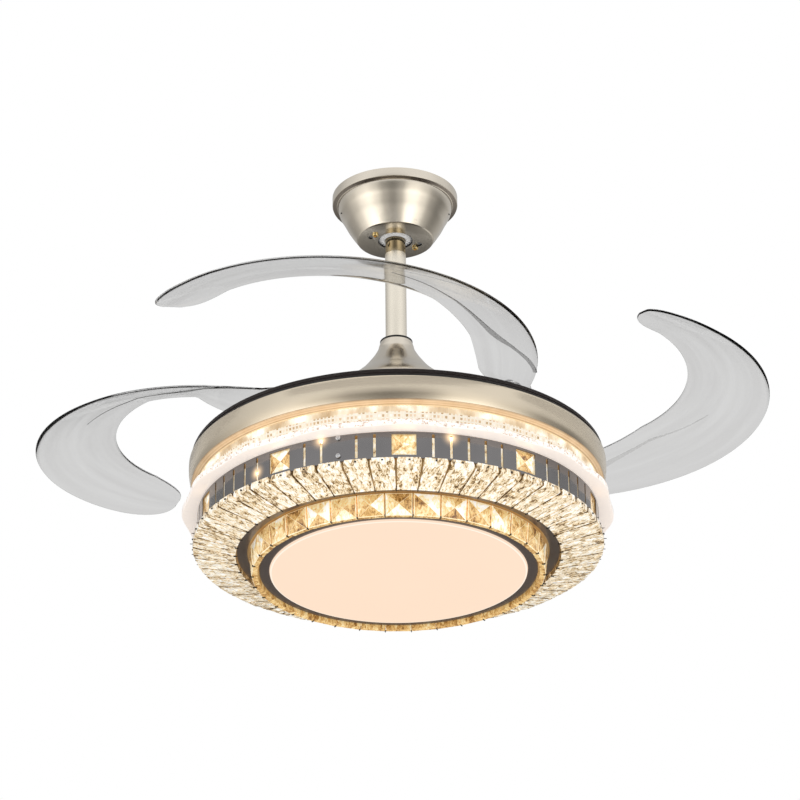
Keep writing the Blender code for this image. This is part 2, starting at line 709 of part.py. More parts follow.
def build_lead():
    """The flex from the ceiling terminals to the lamp driver, inside the rod and shaft."""
    chassis_bottom = ringBottom
    bend_start = chassis_bottom - SHAFT_BELOW_CHASSIS - GAP
    points = [(0.0, LEAD_OFFSET, rodTop - LEAD_RADIUS), (0.0, LEAD_OFFSET, yokePinHeight - LEAD_OFFSET)]
    low = shaftTop + LEAD_RADIUS
    high = points[-1][2]
    bends = LEAD_BEND_STEPS
    for index in range(1, bends + 1):
        share = index / bends
        ease = (1.0 + math.cos(math.pi * share)) / 2
        points.append((0.0, LEAD_OFFSET * ease, high + (low - high) * share))
    points.append((0.0, 0.0, bend_start))
    for index in range(1, bends + 1):
        angle = math.radians(90.0) * index / bends
        points.append((LEAD_BEND * (1.0 - math.cos(angle)), 0.0,
                       bend_start - LEAD_BEND * math.sin(angle)))
    points.append((DRIVER_START - GAP, 0.0, bend_start - LEAD_BEND))
    curve = bpy.data.curves.new("power_lead", "CURVE")
    curve.dimensions = "3D"
    curve.bevel_depth = LEAD_RADIUS
    curve.bevel_resolution = 1
    curve.use_fill_caps = True
    spline = curve.splines.new("POLY")
    spline.points.add(len(points) - 1)
    for point, place in zip(spline.points, points):
        point.co = (*place, 1.0)
    return add_object("power_lead", curve, "cable")


def cover_outside():
    points = []
    for radius_share, drop_share in COVER_FLARE_SHARES:
        radius = COVER_TOP_RADIUS + radius_share * (COVER_BASE_RADIUS - COVER_TOP_RADIUS)
        points.append((radius, coverTop - drop_share * COVER_HEIGHT))
    return points


def build_coupling():
    cover = turn("coupling_cover", shell_section(cover_outside(), COVER_WALL), MIDDLE_STEPS,
                 "satin_nickel")
    smooth(cover)
    ring_bottom = coverTop + GAP
    ring = turn("rubber_ring", ring_section(COVER_TOP_RADIUS + GAP, ROD_RADIUS + GAP,
                                            ring_bottom + RUBBER_RING_HEIGHT, ring_bottom),
                MIDDLE_STEPS, "rubber")
    rod_bore = ROD_RADIUS + GAP
    shaft_bore = SHAFT_RADIUS + GAP
    section = [(YOKE_RADIUS, yokeTop), (YOKE_RADIUS, yokeBottom), (shaft_bore, yokeBottom),
               (shaft_bore, shaftTop), (rod_bore, shaftTop), (rod_bore, yokeTop)]
    yoke = turn("coupling_yoke", section, SMALL_STEPS, "zinc_steel")
    cut(yoke, add_cutter("yoke_pin_hole", pin_hole(YOKE_PIN_RADIUS, yokePinHeight)))
    pin = build_pin("yoke_pin", YOKE_PIN_RADIUS, YOKE_PIN_LENGTH, yokePinHeight)
    return [cover, ring, yoke, pin]


def build_shaft():
    bottom = ringBottom - SHAFT_BELOW_CHASSIS
    shaft = turn("motor_shaft", ring_section(SHAFT_RADIUS, SHAFT_BORE_RADIUS, shaftTop - GAP, bottom),
                 SMALL_STEPS, "bright_steel")
    nut_top = ringBottom - GAP
    nut_bm = round_bar(SHAFT_NUT_RADIUS, nut_top - SHAFT_NUT_HEIGHT, nut_top, NUT_SIDES)
    nut = add_solid("shaft_nut", nut_bm, "zinc_steel")
    cut(nut, add_cutter("nut_bore", round_bar(SHAFT_RADIUS + GAP, nut_top - SHAFT_NUT_HEIGHT - OVERRUN,
                                              nut_top + OVERRUN, SMALL_STEPS)))
    return [shaft, nut]


def build_motor():
    """The stator stays with the shaft; the shells, magnets and bearings turn with the disc."""
    seat = BEARING_RADIUS + GAP
    lip = BEARING_RADIUS - BEARING_LIP
    inside = MOTOR_RADIUS - MOTOR_WALL
    top_under = motorTop - MOTOR_WALL
    seat_end = top_under - BEARING_HEIGHT - GAP
    upper_section = [
        (MOTOR_RADIUS, motorTop), (MOTOR_RADIUS, motorSplit), (inside, motorSplit),
        (inside, top_under), (seat + BEARING_SEAT_WALL, top_under),
        (seat + BEARING_SEAT_WALL, seat_end), (seat, seat_end), (seat, top_under),
        (lip, top_under), (lip, motorTop),
    ]
    upper = turn("rotor_upper_shell", upper_section, MIDDLE_STEPS, "satin_nickel")
    low_split = motorSplit - GAP
    floor_top = motorFloor + MOTOR_WALL
    foot_top = motorFoot + MOTOR_WALL
    seat_start = floor_top + BEARING_HEIGHT + GAP
    lower_section = [
        (MOTOR_RADIUS, low_split), (MOTOR_RADIUS, foot_top), (MOTOR_FOOT_RADIUS, foot_top),
        (MOTOR_FOOT_RADIUS, motorFoot),
        (inside - MOTOR_WALL, motorFoot), (inside - MOTOR_WALL, motorFloor), (lip, motorFloor),
        (lip, floor_top), (seat, floor_top), (seat, seat_start),
        (seat + BEARING_SEAT_WALL, seat_start), (seat + BEARING_SEAT_WALL, floor_top),
        (inside, floor_top), (inside, low_split),
    ]
    lower = turn("rotor_lower_shell", lower_section, MIDDLE_STEPS, "satin_nickel")
    bearings = []
    bearing_tops = (("upper_bearing", top_under - GAP), ("lower_bearing", seat_start))
    for name, top in bearing_tops:
        section = ring_section(BEARING_RADIUS, SHAFT_RADIUS + GAP, top, top - BEARING_HEIGHT)
        bearings.append(turn(name, section, SMALL_STEPS, "bright_steel"))
    middle = (motorTop + motorFloor) / 2
    magnet_outer = inside - GAP
    magnets = turn("magnet_ring",
                   ring_section(magnet_outer, magnet_outer - MAGNET_THICK,
                                middle + MAGNET_HEIGHT / 2, middle - MAGNET_HEIGHT / 2),
                   MIDDLE_STEPS, "magnet")
    stator = turn("stator",
                  ring_section(STATOR_RADIUS, SHAFT_RADIUS + GAP,
                               middle + STATOR_HEIGHT / 2, middle - STATOR_HEIGHT / 2),
                  MIDDLE_STEPS, "lamination")
    return stator, [upper, lower, magnets] + bearings


# The blade at the left swings out about its pivot; its outer arc's centre leaves the disc's axis
pivot = Vector(polar(pivotRadius, PIVOT_ANGLE))
outerArcCentre = pivot + Matrix.Rotation(BLADE_SWING, 2) @ -pivot
innerArcCentre = outerArcCentre + Vector(BLADE_ARC_SHIFT)
outerArcRadius = discRadius - BLADE_EDGE_INSIDE_DISC
innerArcRadius = outerArcRadius - BLADE_ARC_STEP
quarter = math.tau / BLADE_COUNT
gearModule = 2 * pivotRadius / (GEAR_TEETH + PINION_TEETH)
pinionPitch = gearModule * PINION_TEETH / 2
gearPitch = pivotRadius - pinionPitch
bladeSeat = discTop + BLADE_SEAT_ABOVE_DISC
bladeUnder = bladeSeat - BLADE_THICK / 2
hubShoulder = bladeUnder - GAP
spigotTop = bladeSeat + BLADE_THICK / 2 + HUB_SPIGOT_PROUD
hubBore = PIVOT_SCREW_RADIUS + running_gap(PIVOT_SCREW_RADIUS, SCREW_STEPS)
neckHole = HUB_NECK_RADIUS + running_gap(HUB_NECK_RADIUS, SCREW_STEPS)
gearRoot = gearPitch - TOOTH_DEPTH_SHARE * gearModule
gearBore = gearRoot - GEAR_RING_WIDTH
bossTop = discTop + BOSS_HEIGHT


def tooth_points(pitch, centre_angle, step):
    """Root, flank and tip corners of one straight-sided tooth, in turning order."""
    root_half = TOOTH_ROOT_SHARE * step
    tip_half = TOOTH_TIP_SHARE * step
    root = pitch - TOOTH_DEPTH_SHARE * gearModule
    tip = pitch + gearModule
    return [polar(root, centre_angle - root_half), polar(tip, centre_angle - tip_half),
            polar(tip, centre_angle + tip_half), polar(root, centre_angle + root_half)]


def build_sync_gear():
    """A ring that turns on a rib of the base plate and meshes with the four blade hubs."""
    step = math.tau / GEAR_TEETH
    outline = []
    for blade in range(BLADE_COUNT):
        contact = PIVOT_ANGLE + blade * quarter
        last = GEAR_SECTOR_TEETH // 2 - 1
        first = last - GEAR_SECTOR_TEETH + 1
        for index in range(first, last + 1):
            outline += tooth_points(gearPitch, contact + (index + 0.5) * step, step)
        plain_start = contact + (last + 1) * step
        plain_span = quarter - GEAR_SECTOR_TEETH * step
        for index in range(GEAR_PLAIN_STEPS):
            share = (index + 0.5) / GEAR_PLAIN_STEPS
            outline.append(polar(gearRoot, plain_start + plain_span * share))
    bore = [polar(gearBore, math.tau * index / LARGE_STEPS) for index in range(LARGE_STEPS)]
    return add_outline("sync_gear", [outline, bore], gearBottom, gearTop, "white_nylon")


def build_hub():
    """A blade hub about the pivot at the origin: pinion, neck and the spigot for the blade."""
    step = math.tau / PINION_TEETH
    facing = PIVOT_ANGLE + math.pi
    outline = []
    for index in range(-1, PINION_SECTOR_TEETH - 1):
        outline += tooth_points(pinionPitch, facing + index * step, step)
    plain_start = facing + (PINION_SECTOR_TEETH - 1) * step
    plain_span = (PINION_TEETH - PINION_SECTOR_TEETH - 1) * step
    for index in range(PINION_PLAIN_STEPS + 1):
        outline.append(polar(neckHole, plain_start + plain_span * index / PINION_PLAIN_STEPS))
    hub = add_outline("blade_hub_1", [outline], gearBottom, gearTop, "black_plastic")
    neck_low = gearBottom + GEAR_THICK / 2
    spigot_low = hubShoulder - GEAR_THICK / 2
    join(hub, add_cutter("hub_neck", round_bar(HUB_NECK_RADIUS, neck_low, hubShoulder, SCREW_STEPS)))
    join(hub, add_cutter("hub_spigot", round_bar(HUB_SPIGOT_RADIUS, spigot_low, spigotTop,
                                                 SCREW_STEPS)))
    cut(hub, add_cutter("hub_bore", round_bar(hubBore, gearBottom - OVERRUN, spigotTop + OVERRUN,
                                              SCREW_STEPS)))
    return realise(hub)


def build_pivot_screw():
    """The screw that holds a hub and its blade down on the rotor's base."""
    head_bottom = spigotTop + GAP
    head_top = head_bottom + PIVOT_HEAD_HEIGHT
    section = [(PIVOT_HEAD_RADIUS, head_top), (PIVOT_HEAD_RADIUS, head_bottom),
               (PIVOT_SCREW_RADIUS, head_bottom), (PIVOT_SCREW_RADIUS, baseBottom)]
    return turn_on_axis("pivot_screw_1", section, SCREW_STEPS, "bright_steel")


def build_return_spring():
    """The coil that folds the blade back, as the plain sleeve of its turns."""
    inner = HUB_NECK_RADIUS + running_gap(HUB_NECK_RADIUS, SCREW_STEPS)
    return turn("return_spring_1", ring_section(inner + SPRING_WALL, inner, bladeUnder - GAP,
                                                bossTop + GAP), SCREW_STEPS, "bright_steel")


def blend_share(value, low, high):
    return min(1.0, max(0.0, (value - low) / (high - low)))


def blade_point(along, across):
    """A point of the blade's middle surface; along runs 0 to 1, across -1 to 1."""
    outer_angle = BLADE_OUTER_ANGLES[0] + (BLADE_OUTER_ANGLES[1] - BLADE_OUTER_ANGLES[0]) * along
    inner_angle = BLADE_INNER_ANGLES[0] + (BLADE_INNER_ANGLES[1] - BLADE_INNER_ANGLES[0]) * along
    outer = outerArcCentre + Vector(polar(outerArcRadius, outer_angle))
    inner = innerArcCentre + Vector(polar(innerArcRadius, inner_angle))
    middle = (outer + inner) / 2
    half = (inner - outer) / 2
    ending = blend_share(along, BLADE_TIP_SHARE, 1.0)
    narrow = (1.0 - ending ** BLADE_TIP_POWER) ** (1.0 / BLADE_TIP_POWER)
    pitch = BLADE_PITCH_ROOT
    for change, start, end in ((BLADE_PITCH_MIDDLE - BLADE_PITCH_ROOT, 0.0, BLADE_PITCH_FULL_SHARE),
                               (BLADE_PITCH_OUTER - BLADE_PITCH_MIDDLE, BLADE_PITCH_FULL_SHARE,
                                BLADE_PITCH_FADE_SHARE),
                               (BLADE_PITCH_TIP - BLADE_PITCH_OUTER, BLADE_PITCH_FADE_SHARE, 1.0)):
        pitch += change * blend_share(along, start, end)
    reach = across * narrow
    place = middle + half * (reach - BLADE_TIP_LEAN_SHARE * ending ** 2)
    camber = BLADE_CAMBER * (1.0 - reach ** 2) * blend_share(along, 0.0, BLADE_PITCH_FULL_SHARE)
    height = discTop + BLADE_ROOT_ABOVE_DISC + BLADE_RISE * along + pitch * (1.0 + reach) / 2
    settled = blend_share(along, 0.0, BLADE_SETTLE_SHARE)
    height = bladeSeat + (height + camber - bladeSeat) * settled
    return Vector((place.x, place.y, height))


def cap_point(beyond, across):
    """A point of the flat, rounded root that sits on the hub."""
    first = blade_point(0.0, 0.0)
    half = (blade_point(0.0, 1.0) - blade_point(0.0, -1.0)) / 2
    forward = (Vector((pivot.x, pivot.y, bladeSeat)) - first).normalized()
    narrow = math.sqrt(1.0 - beyond ** 2)
    return first + forward * (BLADE_CAP_LENGTH * beyond) + half * (across * narrow)


def build_blade():
    """One crescent blade about its pivot, which is at the origin of its mesh."""
    rows = [("cap", math.sin(math.radians(turned))) for turned in BLADE_CAP_ROWS]
    rows += [("body", BLADE_TIP_SHARE * index / BLADE_ROWS) for index in range(BLADE_ROWS + 1)]
    for turned in BLADE_TIP_ROWS:
        share = math.sin(math.radians(turned))
        rows.append(("body", BLADE_TIP_SHARE + (1.0 - BLADE_TIP_SHARE) * share))
    bm = bmesh.new()
    bmesh.ops.create_grid(bm, x_segments=len(rows) - 1, y_segments=BLADE_COLUMNS, size=1.0)
    for vert in bm.verts:
        kind, share = rows[round((vert.co.x + 1.0) / 2 * (len(rows) - 1))]
        across = vert.co.y
        place = cap_point(share, across) if kind == "cap" else blade_point(share, across)
        vert.co = (place.x - pivot.x, place.y - pivot.y, place.z)
    bmesh.ops.recalc_face_normals(bm, faces=bm.faces)
    if sum(face.normal.z for face in bm.faces) < 0:
        bmesh.ops.reverse_faces(bm, faces=bm.faces)
    blade = add_solid("blade_1", bm, "clear_acrylic")
    wall = blade.modifiers.new("wall", "SOLIDIFY")
    wall.thickness = BLADE_THICK
    wall.offset = 0.0
    wall.use_even_offset = True
    spigot_hole = round_bar(HUB_SPIGOT_RADIUS + GAP, bladeUnder - OVERRUN, bladeSeat + OVERRUN,
                            SCREW_STEPS)
    cut(blade, add_cutter("spigot_hole", spigot_hole))
    return realise(blade)


def build_rotor_disc():
    """The black cover with its four blade bosses, and the plate that closes it below."""
    rim_inner = discRadius - DISC_RIM_WALL
    rim_bottom = discTop - DISC_RIM_HEIGHT
    edge = DISC_EDGE_ROUND
    section = [(discRadius - edge, discTop), (discRadius, discTop - edge),
               (discRadius, rim_bottom), (rim_inner, rim_bottom), (rim_inner, discUnder),
               (DISC_HOLE_RADIUS, discUnder), (DISC_HOLE_RADIUS, discTop)]
    cover = turn("rotor_cover", section, LARGE_STEPS, "black_plastic")
    rib_outer = gearBore - running_gap(gearBore, LARGE_STEPS)
    base_section = [(baseRadius, baseTop), (baseRadius, baseBottom), (DISC_HOLE_RADIUS, baseBottom),
                    (DISC_HOLE_RADIUS, baseTop), (rib_outer - GEAR_RIB_WIDTH, baseTop),
                    (rib_outer - GEAR_RIB_WIDTH, baseTop + GEAR_RIB_HEIGHT),
                    (rib_outer, baseTop + GEAR_RIB_HEIGHT), (rib_outer, baseTop)]
    base = turn("rotor_base", base_section, LARGE_STEPS, "black_metal")
    for blade in range(BLADE_COUNT):
        x, y = polar(pivotRadius, PIVOT_ANGLE + blade * quarter)
        bm = bmesh.new()
        low = discUnder + DISC_PLATE / 2
        place = Matrix.Translation((x, y, (low + bossTop) / 2))
        bmesh.ops.create_cone(bm, cap_ends=True, segments=SCREW_STEPS, radius1=BOSS_FOOT_RADIUS,
                              radius2=BOSS_TOP_RADIUS, depth=bossTop - low, matrix=place)
        join(cover, add_cutter("blade_boss", bm))
        neck_hole = round_bar(neckHole, discUnder - OVERRUN, bossTop + OVERRUN, SCREW_STEPS,
                              centre=(x, y, 0.0))
        cut(cover, add_cutter("neck_hole", neck_hole))
        screw_hole = round_bar(PIVOT_SCREW_RADIUS + GAP, baseBottom - OVERRUN, baseTop + OVERRUN,
                               SCREW_STEPS, centre=(x, y, 0.0))
        cut(base, add_cutter("pivot_screw_hole", screw_hole))
    return [cover, base]


def ring_outside():
    points = []
    for inset_share, drop_share in RING_SHARES:
        points.append((RING_RADIUS - inset_share * RING_ROLL, ringTop - drop_share * RING_HEIGHT))
    return points


def build_lamp_top():
    outside = ring_outside()
    metal = turn("metal_ring", shell_section(outside, RING_WALL), LARGE_STEPS, "satin_nickel")
    smooth(metal)
    ring_inside = inset_line(outside, RING_WALL)
    chassis = turn("lamp_chassis",
                   ring_section(ring_inside[-1][0] - GAP, SHAFT_RADIUS + GAP,
                                ringBottom + CHASSIS_THICK, ringBottom), LARGE_STEPS, "zinc_steel")
    reflector = turn("reflector_ring",
                     [(reflectorTopRadius, reflectorTop), (reflectorFootRadius, reflectorBottom),
                      (reflectorInnerRadius, reflectorBottom), (reflectorInnerRadius, reflectorTop)],
                     LARGE_STEPS, "amber_reflector")
    prism = turn("prism_ring",
                 ring_section(reflectorFootRadius, reflectorFootRadius - PRISM_WALL, prismTop,
                              prismBottom), LARGE_STEPS, "clear_acrylic")
    strip = turn("led_strip",
                 ring_section(ledStripRadius, ledStripRadius - LED_STRIP_WALL,
                              ringBottom - GAP, ringBottom - GAP - LED_STRIP_HEIGHT),
                 MIDDLE_STEPS, "circuit_board")
    return [metal, chassis, reflector, prism, strip]


def build_acrylic_plate():
    """The glowing plate with a flower edge of shallow lobes."""
    section = ring_section(plateRadius, plateInnerRadius, plateTop, plateBottom)
    steps = PLATE_LOBES * PLATE_STEPS_PER_LOBE
    plate = realise(turn("acrylic_plate", section, steps, "frosted_acrylic"))
    bm = bmesh.new()
    bm.from_mesh(plate.data)
    for vert in bm.verts:
        radius = math.hypot(vert.co.x, vert.co.y)
        if radius > (plateInnerRadius + plateRadius) / 2:
            angle = math.atan2(vert.co.y, vert.co.x)
            swell = PLATE_LOBE_DEPTH * math.cos(PLATE_LOBES * (angle - PLATE_LOBE_ANGLE))
            vert.co.x *= (radius + swell) / radius
            vert.co.y *= (radius + swell) / radius
    bm.to_mesh(plate.data)
    bm.free()
    return plate


def band_slot_angles():
    """Every slot's angle; the seam takes the place of one."""
    gap_angle = math.tau / WINDOW_COUNT
    angles = []
    for window in range(WINDOW_COUNT):
        for slot in range(SLOT_COUNT):
            if (window, slot) != (SEAM_GAP_INDEX, SEAM_SLOT_INDEX):
                angles.append(WINDOW_ANGLE + window * gap_angle + SLOT_FIRST_ANGLE
                              + slot * SLOT_STEP_ANGLE)
    return angles


def seam_angle():
    return (WINDOW_ANGLE + SEAM_GAP_INDEX * math.tau / WINDOW_COUNT + SLOT_FIRST_ANGLE
            + SEAM_SLOT_INDEX * SLOT_STEP_ANGLE)


def radial_block(angle, near, far, width, low, high):
    bm = block((near, -width / 2, low), (far, width / 2, high))
    bmesh.ops.rotate(bm, verts=bm.verts, cent=(0.0, 0.0, 0.0), matrix=Matrix.Rotation(angle, 3, "Z"))
    return bm


def build_band():
    inner = bandRadius - BAND_WALL
    band = turn("slotted_band", ring_section(bandRadius, inner, bandTop, bandBottom), LARGE_STEPS,
                "dark_mirror")
    near = inner - OVERRUN
    far = bandRadius + OVERRUN
    openings = bmesh.new()
    for window in range(WINDOW_COUNT):
        angle = WINDOW_ANGLE + window * math.tau / WINDOW_COUNT
        top = bandTop - WINDOW_DROP
        merge_into(openings, radial_block(angle, near, far, WINDOW_WIDTH, top - WINDOW_HEIGHT, top))
    for angle in band_slot_angles():
        top = bandTop - SLOT_DROP
        merge_into(openings, radial_block(angle, near, far, SLOT_WIDTH, top - SLOT_HEIGHT, top))
    cut(band, add_cutter("band_openings", openings))
    screws = []
    turn_seam = Matrix.Rotation(seam_angle(), 4, "Z")
    for name, drop in zip(("upper", "lower"), BAND_SCREW_DROPS):
        height = bandTop - drop
        hole = round_bar(BAND_SCREW_SHANK_RADIUS + GAP, near, far, SCREW_STEPS, "X", (0.0, 0.0, height))
        bmesh.ops.transform(hole, matrix=turn_seam, verts=hole.verts)
        cut(band, add_cutter("band_screw_hole", hole))
        start = panWallRadius + STRIP_WALL + 3 * GAP
        shank_end = bandRadius + GAP
        head_end = shank_end + BAND_SCREW_HEAD_HEIGHT
        section = [(BAND_SCREW_HEAD_RADIUS * BAND_SCREW_CROWN_SHARE, head_end),
                   (BAND_SCREW_HEAD_RADIUS, head_end - BAND_SCREW_HEAD_HEIGHT / 2),
                   (BAND_SCREW_HEAD_RADIUS, shank_end),
                   (BAND_SCREW_SHANK_RADIUS, shank_end), (BAND_SCREW_SHANK_RADIUS, start)]
        screw = turn_on_axis("band_screw_" + name, section, SCREW_STEPS, "bright_steel")
        screw.rotation_euler = (0.0, math.radians(90.0), seam_angle())
        screw.location = (0.0, 0.0, height)
        screws.append(screw)
    return [band] + screws


def build_window_crystals():
    """The cut crystals behind the band's windows, on one clear strip."""
    inner = panWallRadius + GAP
    window_top = bandTop - WINDOW_DROP + WINDOW_CRYSTAL_MARGIN
    window_bottom = window_top - WINDOW_HEIGHT - 2 * WINDOW_CRYSTAL_MARGIN
    inset = WINDOW_CRYSTAL_MARGIN * 2
    ring = turn("window_crystals", ring_section(inner + STRIP_WALL, inner, window_top - inset,
                                                window_bottom + inset), LARGE_STEPS,
                "amber_crystal")
    crystals = bmesh.new()
    for window in range(WINDOW_COUNT):
        angle = WINDOW_ANGLE + window * math.tau / WINDOW_COUNT
        strip_outer = inner + STRIP_WALL
        near = strip_outer - facet_sag(strip_outer, LARGE_STEPS) - WINDOW_CRYSTAL_SINK
        width = WINDOW_WIDTH + 2 * WINDOW_CRYSTAL_MARGIN
        bm = block((near, -width / 2, window_bottom), (near + WINDOW_CRYSTAL_THICK, width / 2, window_top))
        front = [face for face in bm.faces if face.normal.x > FACING_SHARE]
        bmesh.ops.poke(bm, faces=front, offset=WINDOW_CRYSTAL_PEAK)
        bmesh.ops.rotate(bm, verts=bm.verts, cent=(0.0, 0.0, 0.0), matrix=Matrix.Rotation(angle, 3, "Z"))
        merge_into(crystals, bm)
    join(ring, add_cutter("window_cut_crystals", crystals))
    return ring


def crystal_ring(name, section, face_line, count, bevel, peak, finish):
    """A ring of crystals: one flat facet each, with bevelled edges and an optional peak."""
    ring = realise(turn(name, section, count, finish))
    along = (Vector(face_line[1]) - Vector(face_line[0])).normalized()
    outward = Vector((-along.y, along.x))
    bm = bmesh.new()
    bm.from_mesh(ring.data)
    facets = []
    for face in bm.faces:
        middle = face.calc_center_median()
        sideways = (middle.x * face.normal.x + middle.y * face.normal.y) / math.hypot(middle.x, middle.y)
        if Vector((sideways, face.normal.z)).dot(outward) > FACING_SHARE:
            facets.append(face)
    bmesh.ops.inset_individual(bm, faces=facets, thickness=bevel, depth=bevel, use_even_offset=True)
    if peak:
        bmesh.ops.poke(bm, faces=facets, offset=peak)
    bm.to_mesh(ring.data)
    bm.free()
    return ring


def build_crystal_rings():
    """Both rows of cut crystals, the pan that holds them and the channel between them."""
    back_top, back_foot = inset_line([outerCrystalTop, outerCrystalFoot], OUTER_CRYSTAL_THICK)
    shoulder_radius = panWallRadius
    run = (shoulder_radius - back_foot[0]) / (back_top[0] - back_foot[0])
    shoulder = (shoulder_radius, back_foot[1] + run * (back_top[1] - back_foot[1]))
    edge_top = (outerCrystalTop[0], outerCrystalTop[1] + OUTER_CRYSTAL_EDGE)
    outer_section = [edge_top, outerCrystalTop, outerCrystalFoot, back_foot, shoulder]
    outer = crystal_ring("outer_crystals", outer_section, (outerCrystalTop, outerCrystalFoot),
                         OUTER_CRYSTAL_COUNT, OUTER_CRYSTAL_BEVEL, 0.0, "pale_crystal")
    inner_back = inset_line([innerCrystalTop, innerCrystalFoot], INNER_CRYSTAL_THICK)
    inner_section = [innerCrystalTop, innerCrystalFoot, inner_back[1], inner_back[0]]
    inner = crystal_ring("inner_crystals", inner_section, (innerCrystalTop, innerCrystalFoot),
                         INNER_CRYSTAL_COUNT, INNER_CRYSTAL_BEVEL, INNER_CRYSTAL_PEAK,
                         "amber_crystal")
    behind = inset_line([shoulder, back_foot], running_gap(panWallRadius, LARGE_STEPS))
    deck = max(behind[1][1], inner_back[0][1] + GAP)
    deck_inner = frameWallRadius - BOX_ROUND - FRAME_WALL
    pan_line = [(panFlangeRadius, panTop - PAN_WALL), (panWallRadius, panTop - PAN_WALL),
                (panWallRadius, behind[0][1]), (behind[1][0], deck), (deck_inner, deck)]
    pan = turn("crystal_pan", shell_section(pan_line, PAN_WALL), LARGE_STEPS, "zinc_steel")
    channel_top = deck - GAP
    channel_outer = back_foot[0] - running_gap(back_foot[0], OUTER_CRYSTAL_COUNT)
    channel_inner = innerCrystalTop[0] + running_gap(innerCrystalTop[0], LARGE_STEPS)
    channel = turn("bronze_channel",
                   ring_section(channel_outer, channel_inner, channel_top,
                                channel_top - CHANNEL_WALL), LARGE_STEPS, "bronze")
    return deck, [outer, inner, pan, channel]


def build_panel(deck):
    """The warm panel in the middle: frame, diffuser and LED board under the pan's deck."""
    wall_top = deck - GAP
    inside = frameWallRadius - FRAME_WALL
    frame = turn("panel_frame",
                 [(frameWallRadius, wall_top), (frameWallRadius, frameLipTop),
                  (frameRadius, frameLipTop), (frameRadius, frameBottom),
                  (frameOpeningRadius, frameBottom), (frameOpeningRadius, frameLipTop),
                  (inside, frameLipTop), (inside, wall_top)],
                 LARGE_STEPS, "black_metal")
    fitted = inside - running_gap(inside, LARGE_STEPS)
    rest = frameLipTop + GAP
    face = frameOpeningRadius - running_gap(frameOpeningRadius, LARGE_STEPS)
    panel_bottom = frameBottom - DIFFUSER_PROUD
    panel = turn_on_axis("diffuser_panel",
                         [(fitted, rest + DIFFUSER_THICK), (fitted, rest), (face, rest),
                          (face, panel_bottom + DIFFUSER_ROUND), (face - DIFFUSER_ROUND, panel_bottom)],
                         MIDDLE_STEPS, "opal_panel")
    board = add_solid("led_board",
                      round_bar(fitted, wall_top - LED_BOARD_THICK, wall_top, MIDDLE_STEPS),
                      "circuit_board")
    return [frame, panel, board]


def build_electronics():
    top = ringBottom - GAP
    length, width, height = DRIVER_SIZE
    driver = rounded_block("led_driver", (DRIVER_START, -width / 2, top - height),
                           (DRIVER_START + length, width / 2, top), "white_nylon")
    length, width, height = RECEIVER_SIZE
    receiver = rounded_block("remote_receiver", (-RECEIVER_START - length, -width / 2, top - height),
                             (-RECEIVER_START, width / 2, top), "black_plastic")
    return [driver, receiver]


def place_blades(rotor_axis):
    """Four blades a quarter turn apart, each on its own pivot axis."""
    hub = build_hub()
    blade = build_blade()
    screw = build_pivot_screw()
    spring = build_return_spring()
    for index in range(BLADE_COUNT):
        number = str(index + 1)
        x, y = polar(pivotRadius, PIVOT_ANGLE + index * quarter)
        axis = add_axis("blade_axis_" + number, (x, y, 0.0), rotor_axis)
        axis.rotation_euler = (0.0, 0.0, index * quarter)
        fixed = add_axis("screw_axis_" + number, (x, y, 0.0), rotor_axis)
        for master, holder in ((hub, axis), (blade, axis), (screw, fixed), (spring, fixed)):
            piece = master
            if index:
                piece = master.copy()
                piece.name = master.name[:-1] + number
                PARTS.objects.link(piece)
            piece.parent = holder


def build_fan():
    build_bracket()
    build_canopy()
    build_canopy_screws()
    build_terminal_block()
    hanger_axis = add_axis("hanger_axis", (0.0, 0.0, ballCentre))
    rotor_axis = add_axis("rotor_axis", (0.0, 0.0, 0.0), hanger_axis)
    stator, rotor = build_motor()
    hung = [build_hanger_ball(), build_pin("ball_pin", BALL_PIN_RADIUS, BALL_PIN_LENGTH, ballCentre),
            build_downrod(), build_lead(), stator]
    hung += build_coupling() + build_shaft() + build_lamp_top() + [build_acrylic_plate()]
    deck, crystal_parts = build_crystal_rings()
    hung += build_band() + [build_window_crystals()] + crystal_parts
    hung += build_panel(deck) + build_electronics()
    rotor += build_rotor_disc() + [build_sync_gear()]
    carry(hanger_axis, hung)
    carry(rotor_axis, rotor)
    place_blades(rotor_axis)


build_fan()
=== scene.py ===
import json
import math
import random

import bmesh
import bpy
from mathutils import Matrix, Vector


